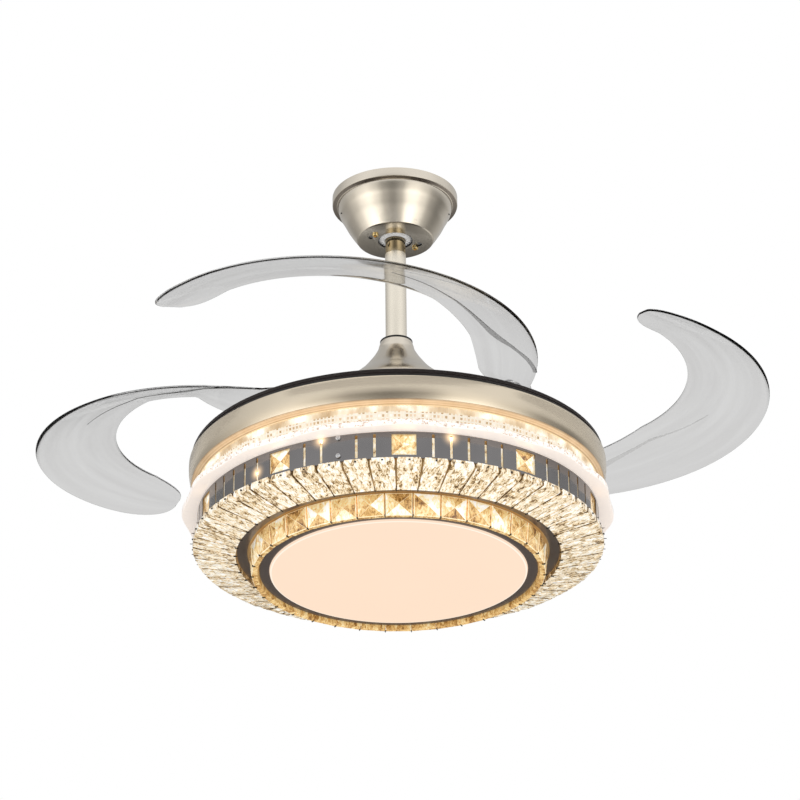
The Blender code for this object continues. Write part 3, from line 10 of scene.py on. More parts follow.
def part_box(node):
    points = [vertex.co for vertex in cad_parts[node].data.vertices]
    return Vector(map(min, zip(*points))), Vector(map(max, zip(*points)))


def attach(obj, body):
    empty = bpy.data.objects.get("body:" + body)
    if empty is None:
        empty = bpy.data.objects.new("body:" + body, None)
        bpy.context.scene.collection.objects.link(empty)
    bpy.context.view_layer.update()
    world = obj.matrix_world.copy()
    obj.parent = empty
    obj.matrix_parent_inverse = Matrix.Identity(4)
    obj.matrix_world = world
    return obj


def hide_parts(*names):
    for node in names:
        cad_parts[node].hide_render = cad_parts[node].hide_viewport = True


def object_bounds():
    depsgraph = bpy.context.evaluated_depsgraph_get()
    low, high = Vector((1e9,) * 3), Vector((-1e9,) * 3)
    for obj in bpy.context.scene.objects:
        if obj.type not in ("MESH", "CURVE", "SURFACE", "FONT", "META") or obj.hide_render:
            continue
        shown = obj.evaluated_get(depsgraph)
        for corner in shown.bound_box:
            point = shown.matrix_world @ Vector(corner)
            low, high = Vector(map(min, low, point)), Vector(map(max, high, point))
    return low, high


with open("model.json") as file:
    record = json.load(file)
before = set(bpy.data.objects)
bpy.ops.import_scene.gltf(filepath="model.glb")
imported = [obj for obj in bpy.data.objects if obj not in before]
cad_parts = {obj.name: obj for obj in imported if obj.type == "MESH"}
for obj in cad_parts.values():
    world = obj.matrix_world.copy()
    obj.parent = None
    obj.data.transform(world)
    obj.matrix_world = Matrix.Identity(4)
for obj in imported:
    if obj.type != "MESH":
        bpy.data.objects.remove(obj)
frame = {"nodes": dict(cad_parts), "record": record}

cadLow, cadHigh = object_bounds()
scene = bpy.context.scene
quarterTurn = math.pi / 2
print("frame loaded")


# Camera, at the photograph's viewing angle: below the lamp, looking up
camera = {
    "place": (0.0, -3.646, -2.076),
    "tilt": 116.22,
    "roll": -0.58,
    "lens": 150.84,
    "sensor": 36.0,
    "shift": 0.00386,
}


def makeCamera():
    data = bpy.data.cameras.new("studioCamera")
    data.lens = camera["lens"]
    data.sensor_width = camera["sensor"]
    data.shift_x = camera["shift"]
    made = bpy.data.objects.new("studioCamera", data)
    scene.collection.objects.link(made)
    turned = Matrix.Rotation(math.radians(camera["tilt"]), 4, "X")
    rolled = Matrix.Rotation(math.radians(camera["roll"]), 4, "Z")
    made.matrix_world = Matrix.Translation(camera["place"]) @ turned @ rolled
    scene.camera = made


makeCamera()


# Shader steps that the studio and the finishes share
def setSockets(node, values):
    for socket, value in values:
        node.inputs[socket].default_value = value


def mathStep(tree, operation, first, second=0.0):
    node = tree.nodes.new("ShaderNodeMath")
    node.operation = operation
    for socket, value in zip(node.inputs, (first, second)):
        if isinstance(value, float):
            socket.default_value = value
        else:
            tree.links.new(value, socket)
    return node.outputs[0]


def vectorStep(tree, operation, first, second=None, scale=None):
    node = tree.nodes.new("ShaderNodeVectorMath")
    node.operation = operation
    tree.links.new(first, node.inputs[0])
    if second:
        node.inputs[1].default_value = second
    if scale:
        tree.links.new(scale, node.inputs["Scale"])
    return node.outputs["Value" if operation == "DISTANCE" else "Vector"]


def splitPlace(tree, place):
    split = tree.nodes.new("ShaderNodeSeparateXYZ")
    tree.links.new(place, split.inputs[0])
    return split.outputs


def mapTo(tree, value, low, high, fromLow=0.3, fromHigh=0.7, kind="LINEAR"):
    ranged = tree.nodes.new("ShaderNodeMapRange")
    ranged.interpolation_type = kind
    setSockets(ranged, (("From Min", fromLow), ("From Max", fromHigh), ("To Min", low), ("To Max", high)))
    tree.links.new(value, ranged.inputs["Value"])
    return ranged.outputs[0]


def stepBetween(tree, value, low, high):
    return mapTo(tree, value, 0.0, 1.0, low, high, "SMOOTHSTEP")


def toneRamp(tree, value, stops, kind="LINEAR"):
    ramp = tree.nodes.new("ShaderNodeValToRGB")
    ramp.color_ramp.interpolation = kind
    while len(ramp.color_ramp.elements) < len(stops):
        ramp.color_ramp.elements.new(0.5)
    for element, (where, colour) in zip(ramp.color_ramp.elements, stops):
        element.position = where
        element.color = (*colour, 1.0)
    tree.links.new(value, ramp.inputs[0])
    return ramp.outputs[0]


def mixColours(tree, factor, first, second):
    mix = tree.nodes.new("ShaderNodeMix")
    mix.data_type = "RGBA"
    for socket, colour in (("A", first), ("B", second)):
        if isinstance(colour, tuple):
            mix.inputs[socket].default_value = (*colour, 1.0)
        else:
            tree.links.new(colour, mix.inputs[socket])
    tree.links.new(factor, mix.inputs["Factor"])
    return mix.outputs["Result"]


def newFinish(name, colour, roughness, metallic=0.0, sockets=()):
    made = bpy.data.materials.new(name)
    made.use_nodes = True
    shader = made.node_tree.nodes["Principled BSDF"]
    setSockets(shader, (("Base Color", (*colour, 1.0)), ("Roughness", roughness), ("Metallic", metallic)))
    setSockets(shader, sockets)
    return made, made.node_tree, shader


# Studio: a white room; gloss sees two soft boxes beside the camera and quieter walls between them
studio = {
    "floorSize": 14.0,
    "floorHeight": -2.9,
    "floorColour": (0.86, 0.86, 0.85),
    "floorRoughness": 0.9,
    "floorWhite": 0.75,
    "fillLight": 0.70,
    # brightness round the walls, (share of the way round, level): 0.5 is towards the camera
    "highRoom": ((0.0, 0.50), (0.16, 0.54), (0.26, 0.82), (0.36, 1.0), (0.50, 0.96), (0.66, 1.0),
                 (0.76, 0.84), (0.86, 0.64), (1.0, 0.50)),
    "lowRoom": ((0.0, 0.08), (0.08, 0.20), (0.17, 0.34), (0.24, 0.56), (0.30, 0.90), (0.34, 1.0),
                (0.39, 0.68), (0.435, 0.30), (0.49, 0.17), (0.54, 0.32), (0.585, 0.90), (0.62, 1.0),
                (0.68, 0.70), (0.73, 0.30), (0.79, 0.18), (0.88, 0.36), (1.0, 0.08)),
    "horizon": (-0.06, 0.30),
    "lowTint": (1.0, 0.98, 0.94),
    "lowBoost": (1.25, 2.35),
    "boostHeights": (-0.12, -0.60),
    "underTone": (0.40, 0.39, 0.37),
    "underHeights": (-0.95, -0.70),
    "lamps": {
        "key": {"place": (-1.2, -1.4, 2.8), "power": 36.0, "size": 1.8},
        "rim": {"place": (1.8, -0.4, 2.6), "power": 18.0, "size": 1.4},
        "under": {"place": (0.4, -1.6, -2.5), "power": 16.0, "size": 2.0},
    },
}


def seesBackground(tree, rays):
    path = tree.nodes.new("ShaderNodeLightPath")
    either = path.outputs[rays[0]]
    for ray in rays[1:]:
        either = mathStep(tree, "MAXIMUM", either, path.outputs[ray])
    return either


def makeFloor():
    bm = bmesh.new()
    bmesh.ops.create_grid(bm, x_segments=1, y_segments=1, size=studio["floorSize"] / 2)
    mesh = bpy.data.meshes.new("studioFloor")
    bm.to_mesh(mesh)
    bm.free()
    floor = bpy.data.objects.new("studioFloor", mesh)
    floor.location.z = studio["floorHeight"]
    floor.visible_glossy = False
    scene.collection.objects.link(floor)
    finish, tree, shader = newFinish("paleFloor", studio["floorColour"], studio["floorRoughness"])
    background = seesBackground(tree, ("Is Camera Ray", "Is Transmission Ray", "Is Glossy Ray"))
    white = tree.nodes.new("ShaderNodeEmission")
    blend = tree.nodes.new("ShaderNodeMixShader")
    tree.links.new(mathStep(tree, "MULTIPLY", background, studio["floorWhite"]), blend.inputs[0])
    tree.links.new(shader.outputs[0], blend.inputs[1])
    tree.links.new(white.outputs[0], blend.inputs[2])
    tree.links.new(blend.outputs[0], tree.nodes["Material Output"].inputs["Surface"])
    mesh.materials.append(finish)


def makeWorld():
    world = bpy.data.worlds.new("studioWorld")
    scene.world = world
    world.use_nodes = True
    tree = world.node_tree
    x, y, z = splitPlace(tree, tree.nodes.new("ShaderNodeTexCoord").outputs["Generated"])
    angle = mathStep(tree, "ARCTAN2", x, mathStep(tree, "MULTIPLY", y, -1.0))
    around = mapTo(tree, angle, 0.0, 1.0, -math.pi, math.pi)
    walls = [toneRamp(tree, around, [(where, (level,) * 3) for where, level in studio[name]], "EASE")
             for name in ("lowRoom", "highRoom")]
    tinted = vectorStep(tree, "MULTIPLY", walls[0], studio["lowTint"])
    boost = mapTo(tree, z, *studio["lowBoost"], *studio["boostHeights"])
    low = mixColours(tree, stepBetween(tree, z, *studio["underHeights"]), studio["underTone"],
                     vectorStep(tree, "SCALE", tinted, scale=boost))
    room = mixColours(tree, stepBetween(tree, z, *studio["horizon"]), low, walls[1])
    glossy = tree.nodes.new("ShaderNodeLightPath").outputs["Is Glossy Ray"]
    reflected = mixColours(tree, glossy, (studio["fillLight"],) * 3, room)
    clear = seesBackground(tree, ("Is Camera Ray", "Is Transmission Ray"))
    back = tree.nodes["Background"]
    tree.links.new(mixColours(tree, clear, reflected, (1.0, 1.0, 1.0)), back.inputs["Color"])
    back.inputs["Strength"].default_value = 1.0


def makeLamp(name, lamp):
    data = bpy.data.lights.new(name + "Light", "AREA")
    data.energy = lamp["power"]
    data.size = lamp["size"]
    made = bpy.data.objects.new(name + "Light", data)
    made.location = lamp["place"]
    made.visible_glossy = False
    made.visible_transmission = False
    aim = Vector((0.0, 0.0, (cadLow.z + cadHigh.z) / 2)) - made.location
    made.rotation_euler = aim.to_track_quat("-Z", "Y").to_euler()
    scene.collection.objects.link(made)


makeFloor()
makeWorld()
for lampName, lampValues in studio["lamps"].items():
    makeLamp(lampName, lampValues)
scene.view_settings.view_transform = "Standard"
print("studio ready")


# Patterns of the finishes
seedReach = 40.0  # how far a stone's seed moves its pattern


def objectPlace(tree):
    return tree.nodes.new("ShaderNodeTexCoord").outputs["Object"]


def roundPlace(tree, around, out, up, seed=None):
    # unrolls the pattern: angle, radius and height, so that it runs round the fan's axis
    x, y, z = splitPlace(tree, objectPlace(tree))
    joined = tree.nodes.new("ShaderNodeCombineXYZ")
    tree.links.new(mathStep(tree, "MULTIPLY", mathStep(tree, "ARCTAN2", y, x), around), joined.inputs["X"])
    if out:
        squares = mathStep(tree, "ADD", mathStep(tree, "POWER", x, 2.0), mathStep(tree, "POWER", y, 2.0))
        tree.links.new(mathStep(tree, "MULTIPLY", mathStep(tree, "SQRT", squares), out), joined.inputs["Y"])
    high = mathStep(tree, "MULTIPLY", z, up)
    if seed:
        high = mathStep(tree, "ADD", high, mathStep(tree, "MULTIPLY", seed, seedReach))
    tree.links.new(high, joined.inputs["Z"])
    return joined.outputs[0]


def addNoise(tree, place, scale, steps=3.0, roughness=0.55, distortion=0.0):
    noise = tree.nodes.new("ShaderNodeTexNoise")
    setSockets(noise, (("Scale", scale), ("Detail", steps), ("Roughness", roughness),
                       ("Distortion", distortion)))
    tree.links.new(place, noise.inputs["Vector"])
    return noise.outputs["Fac"]


def addCells(tree, place, feature="F1"):
    cells = tree.nodes.new("ShaderNodeTexVoronoi")
    cells.feature = feature
    cells.inputs["Scale"].default_value = 1.0
    tree.links.new(place, cells.inputs["Vector"])
    return cells.outputs["Color" if feature == "F1" else "Distance"]


def splitColour(tree, colour):
    parts = tree.nodes.new("ShaderNodeSeparateColor")
    tree.links.new(colour, parts.inputs[0])
    return parts.outputs


def addBump(tree, shader, value, depth, strength=0.5):
    bump = tree.nodes.new("ShaderNodeBump")
    setSockets(bump, (("Strength", strength), ("Distance", depth)))
    tree.links.new(value, bump.inputs["Height"])
    tree.links.new(bump.outputs[0], shader.inputs["Normal"])


def dimmed(colour, share):
    return tuple(part * share for part in colour)


def cloudy(tree, noise, first, second):
    # drifts between two colours with the noise
    return mixColours(tree, mapTo(tree, noise, 0.0, 1.0), first, second)


def litFrom(tree, shader, colour, glow):
    # the surface glows in its own colour
    for socket in ("Base Color", "Emission Color"):
        tree.links.new(colour, shader.inputs[socket])
    shader.inputs["Emission Strength"].default_value = glow


# Finishes
def wornFinish(name, colour, roughness, metallic, grain, depth, tint=0.08, sockets=()):
    # a plain finish with the fine unevenness that a real one has: tone, sheen and surface
    made, tree, shader = newFinish(name, colour, roughness, metallic, sockets)
    fine = addNoise(tree, objectPlace(tree), grain)
    broad = addNoise(tree, objectPlace(tree), grain / 12)
    tree.links.new(cloudy(tree, broad, dimmed(colour, 1.0 - tint), colour), shader.inputs["Base Color"])
    tree.links.new(mapTo(tree, fine, roughness * 0.85, roughness * 1.15), shader.inputs["Roughness"])
    addBump(tree, shader, fine, depth)
    return made


def makeSatinNickel(name, colour, roughness):
    made, tree, shader = newFinish(name, colour, roughness, 1.0)
    mist = addNoise(tree, objectPlace(tree), 380.0, 2.0)
    pearl = addNoise(tree, objectPlace(tree), 2400.0, 2.0)
    cloud = addNoise(tree, objectPlace(tree), 14.0)
    tree.links.new(cloudy(tree, cloud, dimmed(colour, 0.95), colour), shader.inputs["Base Color"])
    tree.links.new(mapTo(tree, mist, roughness * 0.94, roughness * 1.06), shader.inputs["Roughness"])
    addBump(tree, shader, pearl, 0.00002, 0.06)
    return made


def makeClearBlade(name, tone, grazingShade):
    # smoke-grey clear plastic: tone flows along the blade; its rim and the faces seen edge-on turn darker, a
    # painted shade for the longer path through the plastic
    made, tree, shader = newFinish(name, (tone,) * 3, 0.03, 0.0,
                                   (("Transmission Weight", 1.0), ("IOR", 1.16)))
    spread = tree.nodes.new("ShaderNodeUVMap")
    spread.uv_map = "bladeSpread"
    stretched = tree.nodes.new("ShaderNodeMapping")
    stretched.inputs["Scale"].default_value = (2.5, 7.0, 1.0)
    tree.links.new(spread.outputs[0], stretched.inputs["Vector"])
    flow = addNoise(tree, stretched.outputs[0], 1.0, 3.0, 0.5, 0.6)
    body = cloudy(tree, flow, dimmed((0.95, 0.945, 0.94), tone), dimmed((1.04, 1.04, 1.035), tone))
    facing = tree.nodes.new("ShaderNodeLayerWeight")
    facing.inputs["Blend"].default_value = 0.25
    # painted shade where the blade is seen edge-on
    edge = mapTo(tree, facing.outputs["Facing"], 0.0, 1.0, 0.80, 1.0)
    tree.links.new(mixColours(tree, edge, body, (grazingShade,) * 3), shader.inputs["Base Color"])
    haze = addNoise(tree, objectPlace(tree), 60.0)
    tree.links.new(mapTo(tree, haze, 0.02, 0.06), shader.inputs["Roughness"])
    addBump(tree, shader, addNoise(tree, objectPlace(tree), 8.0), 0.0004, 0.2)
    return made


cutLooks = {  # shard and speck sizes are (across, along); the shard edge shade is its width and its darkness. Stops, shards and specks are painted reflections and glints, and glow is painted light
    "radius": 0.21,
    "pale": {
        "stops": ((0.14, (0.10, 0.052, 0.016)), (0.26, (0.40, 0.25, 0.10)), (0.38, (0.72, 0.54, 0.31)),
                  (0.50, (0.86, 0.71, 0.49)), (0.64, (0.93, 0.82, 0.63)), (0.78, (1.0, 0.94, 0.82)),
                  (0.90, (1.0, 1.0, 0.98))),
        "line": (0.92, 0.80, 0.60), "glow": 0.36, "shards": (0.0042, 0.0110), "specks": (0.0027, 0.0075),
        "facetWeight": 0.24, "shardWeight": 0.42, "speckWeight": 0.50, "shardEdgeShade": (0.20, 0.10),
    },
    "amber": {
        "stops": ((0.12, (0.16, 0.068, 0.016)), (0.26, (0.42, 0.21, 0.055)), (0.40, (0.66, 0.39, 0.13)),
                  (0.55, (0.84, 0.58, 0.24)), (0.70, (0.93, 0.74, 0.40)), (0.84, (1.0, 0.90, 0.66)),
                  (0.96, (1.0, 1.0, 0.97))),
        "line": (0.97, 0.79, 0.48), "glow": 0.43, "shards": (0.0070, 0.0095), "specks": (0.0042, 0.0062),
        "facetWeight": 0.66, "shardWeight": 0.28, "speckWeight": 0.30, "shardEdgeShade": (0.12, 0.06),
    },
}


def makeCutGlass(kind):
    # cut glass with painted light: it glows as if lit by the diodes inside, and its tones are painted
    # reflections and glints; the colours of cut hold each facet's tone, the line round its rim, and its
    # stone's seed
    look = cutLooks[kind]
    made, tree, shader = newFinish(kind + "Crystal", look["line"], 0.07, 0.0,
                                   (("IOR", 1.55), ("Coat Weight", 0.7), ("Coat Roughness", 0.03)))
    cut = tree.nodes.new("ShaderNodeAttribute")
    cut.attribute_name = "cut"
    tone, rim, seed = splitColour(tree, cut.outputs["Color"])
    places = [roundPlace(tree, cutLooks["radius"] / across, 1.0 / along, 1.0 / along, seed)
              for across, along in (look["shards"], look["specks"])]
    shard = splitColour(tree, addCells(tree, places[0]))[0]
    border = addCells(tree, places[0], "DISTANCE_TO_EDGE")
    specks = mapTo(tree, addNoise(tree, places[1], 1.0, 2.5, 0.6, 1.0), 0.0, 1.0, 0.36, 0.64)
    value = mathStep(tree, "MULTIPLY", tone, look["facetWeight"])
    value = mathStep(tree, "ADD", value, mathStep(tree, "MULTIPLY", shard, look["shardWeight"]))
    value = mathStep(tree, "ADD", value, mathStep(tree, "MULTIPLY", specks, look["speckWeight"]))
    edgeShadeWidth, edgeShadeDepth = look["shardEdgeShade"]
    # dark lines along the shards' edges: painted shade in the reflections
    value = mathStep(tree, "SUBTRACT", value, mapTo(tree, border, edgeShadeWidth, 0.0, 0.0, edgeShadeDepth))
    colour = mixColours(tree, rim, toneRamp(tree, value, look["stops"]), look["line"])
    litFrom(tree, shader, colour, look["glow"])
    addBump(tree, shader, specks, 0.0004, 0.5)
    return made


prismLook = {
    "around": 336,
    "rowHeight": 0.0050,
    "squareHalf": 0.30,
    "glowEnd": -0.4125,
    "glowBlur": 0.0010,
    "squaresEnd": -0.4225,
    "squaresBlur": 0.0006,
    "glow": 0.38,
    "between": (0.84, 0.77, 0.66),
    "squares": ((0.0, (0.42, 0.28, 0.13)), (0.35, (0.66, 0.50, 0.31)), (0.7, (0.84, 0.75, 0.60)),
                (1.0, (1.0, 0.95, 0.86))),
    "speckle": ((0.34, (0.40, 0.30, 0.23)), (0.46, (0.66, 0.59, 0.53)), (0.56, (0.80, 0.76, 0.72))),
    "glowingEdge": ((0.32, (0.58, 0.41, 0.23)), (0.45, (0.76, 0.61, 0.41)), (0.56, (1.0, 0.91, 0.76)),
                (0.66, (1.25, 1.17, 1.02))),
}


def makePrismGlass():
    # a glowing upper edge, two rows of small gold squares, then fine pale speckle; the whole band glows with
    # painted light from the diodes, and the bright patches on its upper edge are painted light
    made, tree, shader = newFinish("clearPrism", (0.9, 0.8, 0.65), 0.12, 0.0,
                                   (("Coat Weight", 0.6), ("Coat Roughness", 0.04)))
    grid = roundPlace(tree, prismLook["around"] / math.tau, 0.0, 1.0 / prismLook["rowHeight"])
    chance = tree.nodes.new("ShaderNodeTexWhiteNoise")
    chance.noise_dimensions = "3D"
    tree.links.new(vectorStep(tree, "FLOOR", grid), chance.inputs["Vector"])
    inCell = splitPlace(tree, vectorStep(tree, "FRACTION", grid))
    offX, offZ = (mathStep(tree, "ABSOLUTE", mathStep(tree, "SUBTRACT", inCell[axis], 0.5)) for axis in "XZ")
    inSquare = mathStep(tree, "LESS_THAN", mathStep(tree, "MAXIMUM", offX, offZ), prismLook["squareHalf"])
    gold = toneRamp(tree, chance.outputs["Value"], prismLook["squares"])
    squares = mixColours(tree, inSquare, prismLook["between"], gold)
    speckle = toneRamp(tree, addNoise(tree, objectPlace(tree), 330.0, 3.0, 0.7), prismLook["speckle"])
    glowPatches = addNoise(tree, roundPlace(tree, 8.5, 0.0, 30.0), 1.0, 2.0, 0.6)
    height = splitPlace(tree, objectPlace(tree))["Z"]
    squaresEnd, glowEnd, blur = prismLook["squaresEnd"], prismLook["glowEnd"], prismLook["glowBlur"]
    lower = stepBetween(tree, height, squaresEnd - prismLook["squaresBlur"], squaresEnd)
    upper = stepBetween(tree, height, glowEnd - blur, glowEnd + blur)
    colour = mixColours(tree, upper, mixColours(tree, lower, speckle, squares),
                        toneRamp(tree, glowPatches, prismLook["glowingEdge"]))
    litFrom(tree, shader, colour, prismLook["glow"])
    return made


def makeFrosted(name, colour, glow, wallTop):
    # satin acrylic, smooth beneath, with a sawn edge: its speckle is partly the sawn edge and partly painted
    # sparkle, and the plate glows with painted light from the diodes
    made, tree, shader = newFinish(name, colour, 0.28, 0.0, (("Coat Weight", 0.4), ("Coat Roughness", 0.1)))
    grain = addNoise(tree, objectPlace(tree), 900.0, 2.0)
    sawnSparkle = toneRamp(tree, addNoise(tree, objectPlace(tree), 300.0, 3.0, 0.7),
                    ((0.36, (0.52, 0.40, 0.32)), (0.47, dimmed(colour, 0.92)), (0.58, (1.0, 0.96, 0.92))))
    onTop = stepBetween(tree, splitPlace(tree, objectPlace(tree))["Z"], wallTop - 0.0004, wallTop)
    plain = cloudy(tree, grain, dimmed(colour, 0.97), colour)
    litFrom(tree, shader, mixColours(tree, onTop, plain, sawnSparkle), glow)
    addBump(tree, shader, grain, 0.00005, 0.4)
    return made


reflectorLook = {
    "heights": (-0.4052, -0.3998),
    "glow": 0.30,
    "stops": ((0.0, (0.86, 0.72, 0.48)), (0.12, (0.60, 0.42, 0.23)), (0.22, (0.36, 0.20, 0.08)),
              (0.30, (0.72, 0.52, 0.31)), (0.52, (0.52, 0.34, 0.18)), (0.58, (0.68, 0.48, 0.28)),
              (0.82, (0.44, 0.28, 0.15)), (1.0, (0.20, 0.12, 0.07))),
    "flare": (0.92, 0.76, 0.52),
}


def makeReflectorGold():
    # bands of amber up the wall, painted reflections, flaring with painted light where the light falls on
    # it; the wall glows with painted light too
    made, tree, shader = newFinish("amberReflector", (0.8, 0.6, 0.35), 0.25, 0.4)
    rise = mapTo(tree, splitPlace(tree, objectPlace(tree))["Z"], 0.0, 1.0, *reflectorLook["heights"])
    wave = addNoise(tree, roundPlace(tree, 9.0, 0.0, 20.0), 1.0)
    tone = mixColours(tree, mapTo(tree, wave, 0.0, 0.30), toneRamp(tree, rise, reflectorLook["stops"]),
                      reflectorLook["flare"])
    litFrom(tree, shader, tone, reflectorLook["glow"])
    return made


def makeGlow(name, colour, strength, shade, edge=None):
    made, tree, shader = newFinish(name, shade, 0.45)
    tone = cloudy(tree, addNoise(tree, objectPlace(tree), 6.0, 2.0), dimmed(colour, 0.985), colour)
    if edge:  # a paler line round the rim, where the light leaves sideways
        start, end, pale = edge
        radius = splitPlace(tree, roundPlace(tree, 0.0, 1.0, 0.0))["Y"]
        line = mathStep(tree, "SUBTRACT", stepBetween(tree, radius, start - 0.0006, start),
                        stepBetween(tree, radius, end, end + 0.0004))
        tone = mixColours(tree, line, tone, pale)
    tree.links.new(tone, shader.inputs["Emission Color"])
    shader.inputs["Emission Strength"].default_value = strength
    addBump(tree, shader, addNoise(tree, objectPlace(tree), 1500.0, 2.0), 0.00002, 0.3)
    return made


def makeSlotGlow():
    # a glowing strip behind the slots, painted light for the lamp's light seen through them: warm, uneven,
    # with a few dark gaps of painted shade
    made, tree, shader = newFinish("slotGlow", (0.8, 0.6, 0.35), 0.3)
    patch = addNoise(tree, roundPlace(tree, 37.0, 0.0, 110.0), 1.0, 2.0, 0.6)
    stops = ((0.30, (0.24, 0.15, 0.07)), (0.37, (0.64, 0.48, 0.28)), (0.46, (0.82, 0.67, 0.43)),
             (0.55, (0.94, 0.84, 0.64)), (0.66, (1.0, 0.96, 0.88)))
    litFrom(tree, shader, toneRamp(tree, patch, stops), 0.74)
    return made


# Where three lit diodes shine out of the slots: (degrees round the band, height)
brightDiodes = {"places": ((-111.2, -0.4404), (-132.2, -0.4583), (-75.2, -0.4425)), "bandRadius": 0.239,
                "behind": 0.0030, "size": 0.0022, "halo": 0.0165}


def diodePlace(angle, height, radius):
    turn = math.radians(angle)
    return (radius * math.cos(turn), radius * math.sin(turn), height)


def makeMirrorBand():
    # dark mirror steel; the light of the bright diodes spills over the edges of their slots
    made, tree, shader = newFinish("darkMirror", (0.20, 0.19, 0.19), 0.14, 1.0)
    fine = addNoise(tree, roundPlace(tree, 2.0, 0.0, 900.0), 1.0)
    tree.links.new(mapTo(tree, fine, 0.11, 0.17), shader.inputs["Roughness"])
    cloud = addNoise(tree, objectPlace(tree), 9.0)
    steel = cloudy(tree, cloud, (0.176, 0.170, 0.171), (0.222, 0.214, 0.214))
    tree.links.new(steel, shader.inputs["Base Color"])
    total = None
    for angle, height in brightDiodes["places"]:
        centre = diodePlace(angle, height, brightDiodes["bandRadius"])
        apart = vectorStep(tree, "DISTANCE", objectPlace(tree), centre)
        near = mathStep(tree, "POWER", mapTo(tree, apart, 1.0, 0.0, 0.0, brightDiodes["halo"]), 3.6)
        total = mathStep(tree, "ADD", total, near) if total else near
    shader.inputs["Emission Strength"].default_value = 1.0
    spill = mixColours(tree, total, (0.0, 0.0, 0.0), (2.4, 1.6, 0.86))
    tree.links.new(spill, shader.inputs["Emission Color"])
    return made


finishes = {
    "nickel": makeSatinNickel("satinNickel", (0.735, 0.675, 0.58), 0.21),
    # a darker copy of the satin nickel: painted shade for the underside of the canopy's rim
    "paintedShadeNickel": makeSatinNickel("paintedShadeNickel", (0.40, 0.35, 0.30), 0.30),
    "rodNickel": makeSatinNickel("rodNickel", (0.86, 0.80, 0.69), 0.28),
    "champagne": makeSatinNickel("champagneRing", (0.73, 0.64, 0.505), 0.22),
    "ferrule": makeSatinNickel("brassyFerrule", (0.42, 0.35, 0.23), 0.16),
    "zinc": wornFinish("zincPlate", (0.55, 0.56, 0.58), 0.42, 1.0, 240.0, 0.00003),
    # the crystal pan glows warm: painted light, as if lit by the diodes
    "glowingGoldPan": wornFinish("warmPanPaintedGlow", (0.46, 0.31, 0.14), 0.35, 0.6, 240.0, 0.00003, 0.25,
                          (("Emission Color", (0.40, 0.24, 0.09, 1.0)), ("Emission Strength", 0.35))),
    "brass": wornFinish("brassScrew", (0.90, 0.70, 0.34), 0.20, 1.0, 700.0, 0.00002),
    "steel": wornFinish("brightSteel", (0.66, 0.66, 0.67), 0.20, 1.0, 500.0, 0.00002),
    "mirrorBand": makeMirrorBand(),
    "bronze": wornFinish("darkBronze", (0.27, 0.215, 0.18), 0.34, 0.8, 160.0, 0.00004, 0.22),
    "blackFrame": wornFinish("blackFrame", (0.125, 0.100, 0.088), 0.32, 0.3, 300.0, 0.00002),
    "blackMetal": wornFinish("blackMetal", (0.03, 0.03, 0.03), 0.45, 0.3, 420.0, 0.00003),
    "blackPlastic": wornFinish("blackPlastic", (0.026, 0.019, 0.018), 0.36, 0.0, 900.0, 0.00004, 0.08,
                               (("Specular IOR Level", 0.36),)),
    "blackWire": wornFinish("blackWire", (0.030, 0.024, 0.018), 0.40, 0.2, 900.0, 0.00002),
    # white nylon with a faint glow: painted light that keeps it pale where it is in shade
    "glowingNylon": wornFinish("whiteNylonPaintedGlow", (0.93, 0.92, 0.91), 0.42, 0.0, 500.0, 0.00003, 0.08,
                        (("Emission Color", (0.9, 0.9, 0.9, 1.0)), ("Emission Strength", 0.12))),
    "rubber": wornFinish("blackRubber", (0.014, 0.014, 0.014), 0.65, 0.0, 800.0, 0.00005),
    "sheath": wornFinish("leadSheath", (0.66, 0.66, 0.65), 0.5, 0.0, 600.0, 0.00003),
    "lamination": wornFinish("lamination", (0.22, 0.20, 0.19), 0.5, 0.8, 300.0, 0.00005),
    "magnet": wornFinish("magnet", (0.10, 0.10, 0.11), 0.35, 0.6, 300.0, 0.00003),
    "board": wornFinish("circuitBoard", (0.78, 0.78, 0.76), 0.40, 0.0, 350.0, 0.00002),
    "reflector": makeReflectorGold(),
    "blade": makeClearBlade("clearBlade", 0.65, 0.56),
    # one ridge material in two tones: a shaded copy, and a paler lit copy for blade 3; the difference is
    # painted light
    "bladeRidge": makeClearBlade("bladeRidge", 0.52, 0.16),
    "paintedLitRidge": makeClearBlade("paintedLitRidge", 0.86, 0.62),
    "paleCrystal": makeCutGlass("pale"),
    "amberCrystal": makeCutGlass("amber"),
    "prism": makePrismGlass(),
    "frosted": makeFrosted("frostedAcrylic", (0.90, 0.81, 0.745), 0.48, -0.4362),
    "panel": makeGlow("opalPanel", (1.0, 0.765, 0.585), 0.93, (0.08, 0.065, 0.055),
                      (0.1505, 0.1517, (1.06, 0.92, 0.78))),
    "slotGlow": makeSlotGlow(),
    "ledDie": makeGlow("ledDie", (1.0, 0.90, 0.66), 3.0, (0.9, 0.8, 0.5)),
}
nodeFinishes = {
    "ceiling_bracket": "zinc", "terminal_block": "glowingNylon", "ball_pin": "steel", "power_lead": "sheath",
    "coupling_yoke": "zinc", "yoke_pin": "steel", "motor_shaft": "steel", "shaft_nut": "zinc",
    "stator": "lamination", "magnet_ring": "magnet", "upper_bearing": "steel", "lower_bearing": "steel",
    "lamp_chassis": "zinc", "led_board": "board", "led_driver": "glowingNylon", "remote_receiver": "blackPlastic",
    "crystal_pan": "glowingGoldPan", "sync_gear": "glowingNylon",
}
for nodeName, finishName in nodeFinishes.items():
    nodeMesh = frame["nodes"][nodeName].data
    nodeMesh.materials.clear()
    nodeMesh.materials.append(finishes[finishName])
print("materials ready")


# Shared shaping steps
detail = {"roundSteps": 144, "sharpAngle": 32.0, "weld": 0.00001}


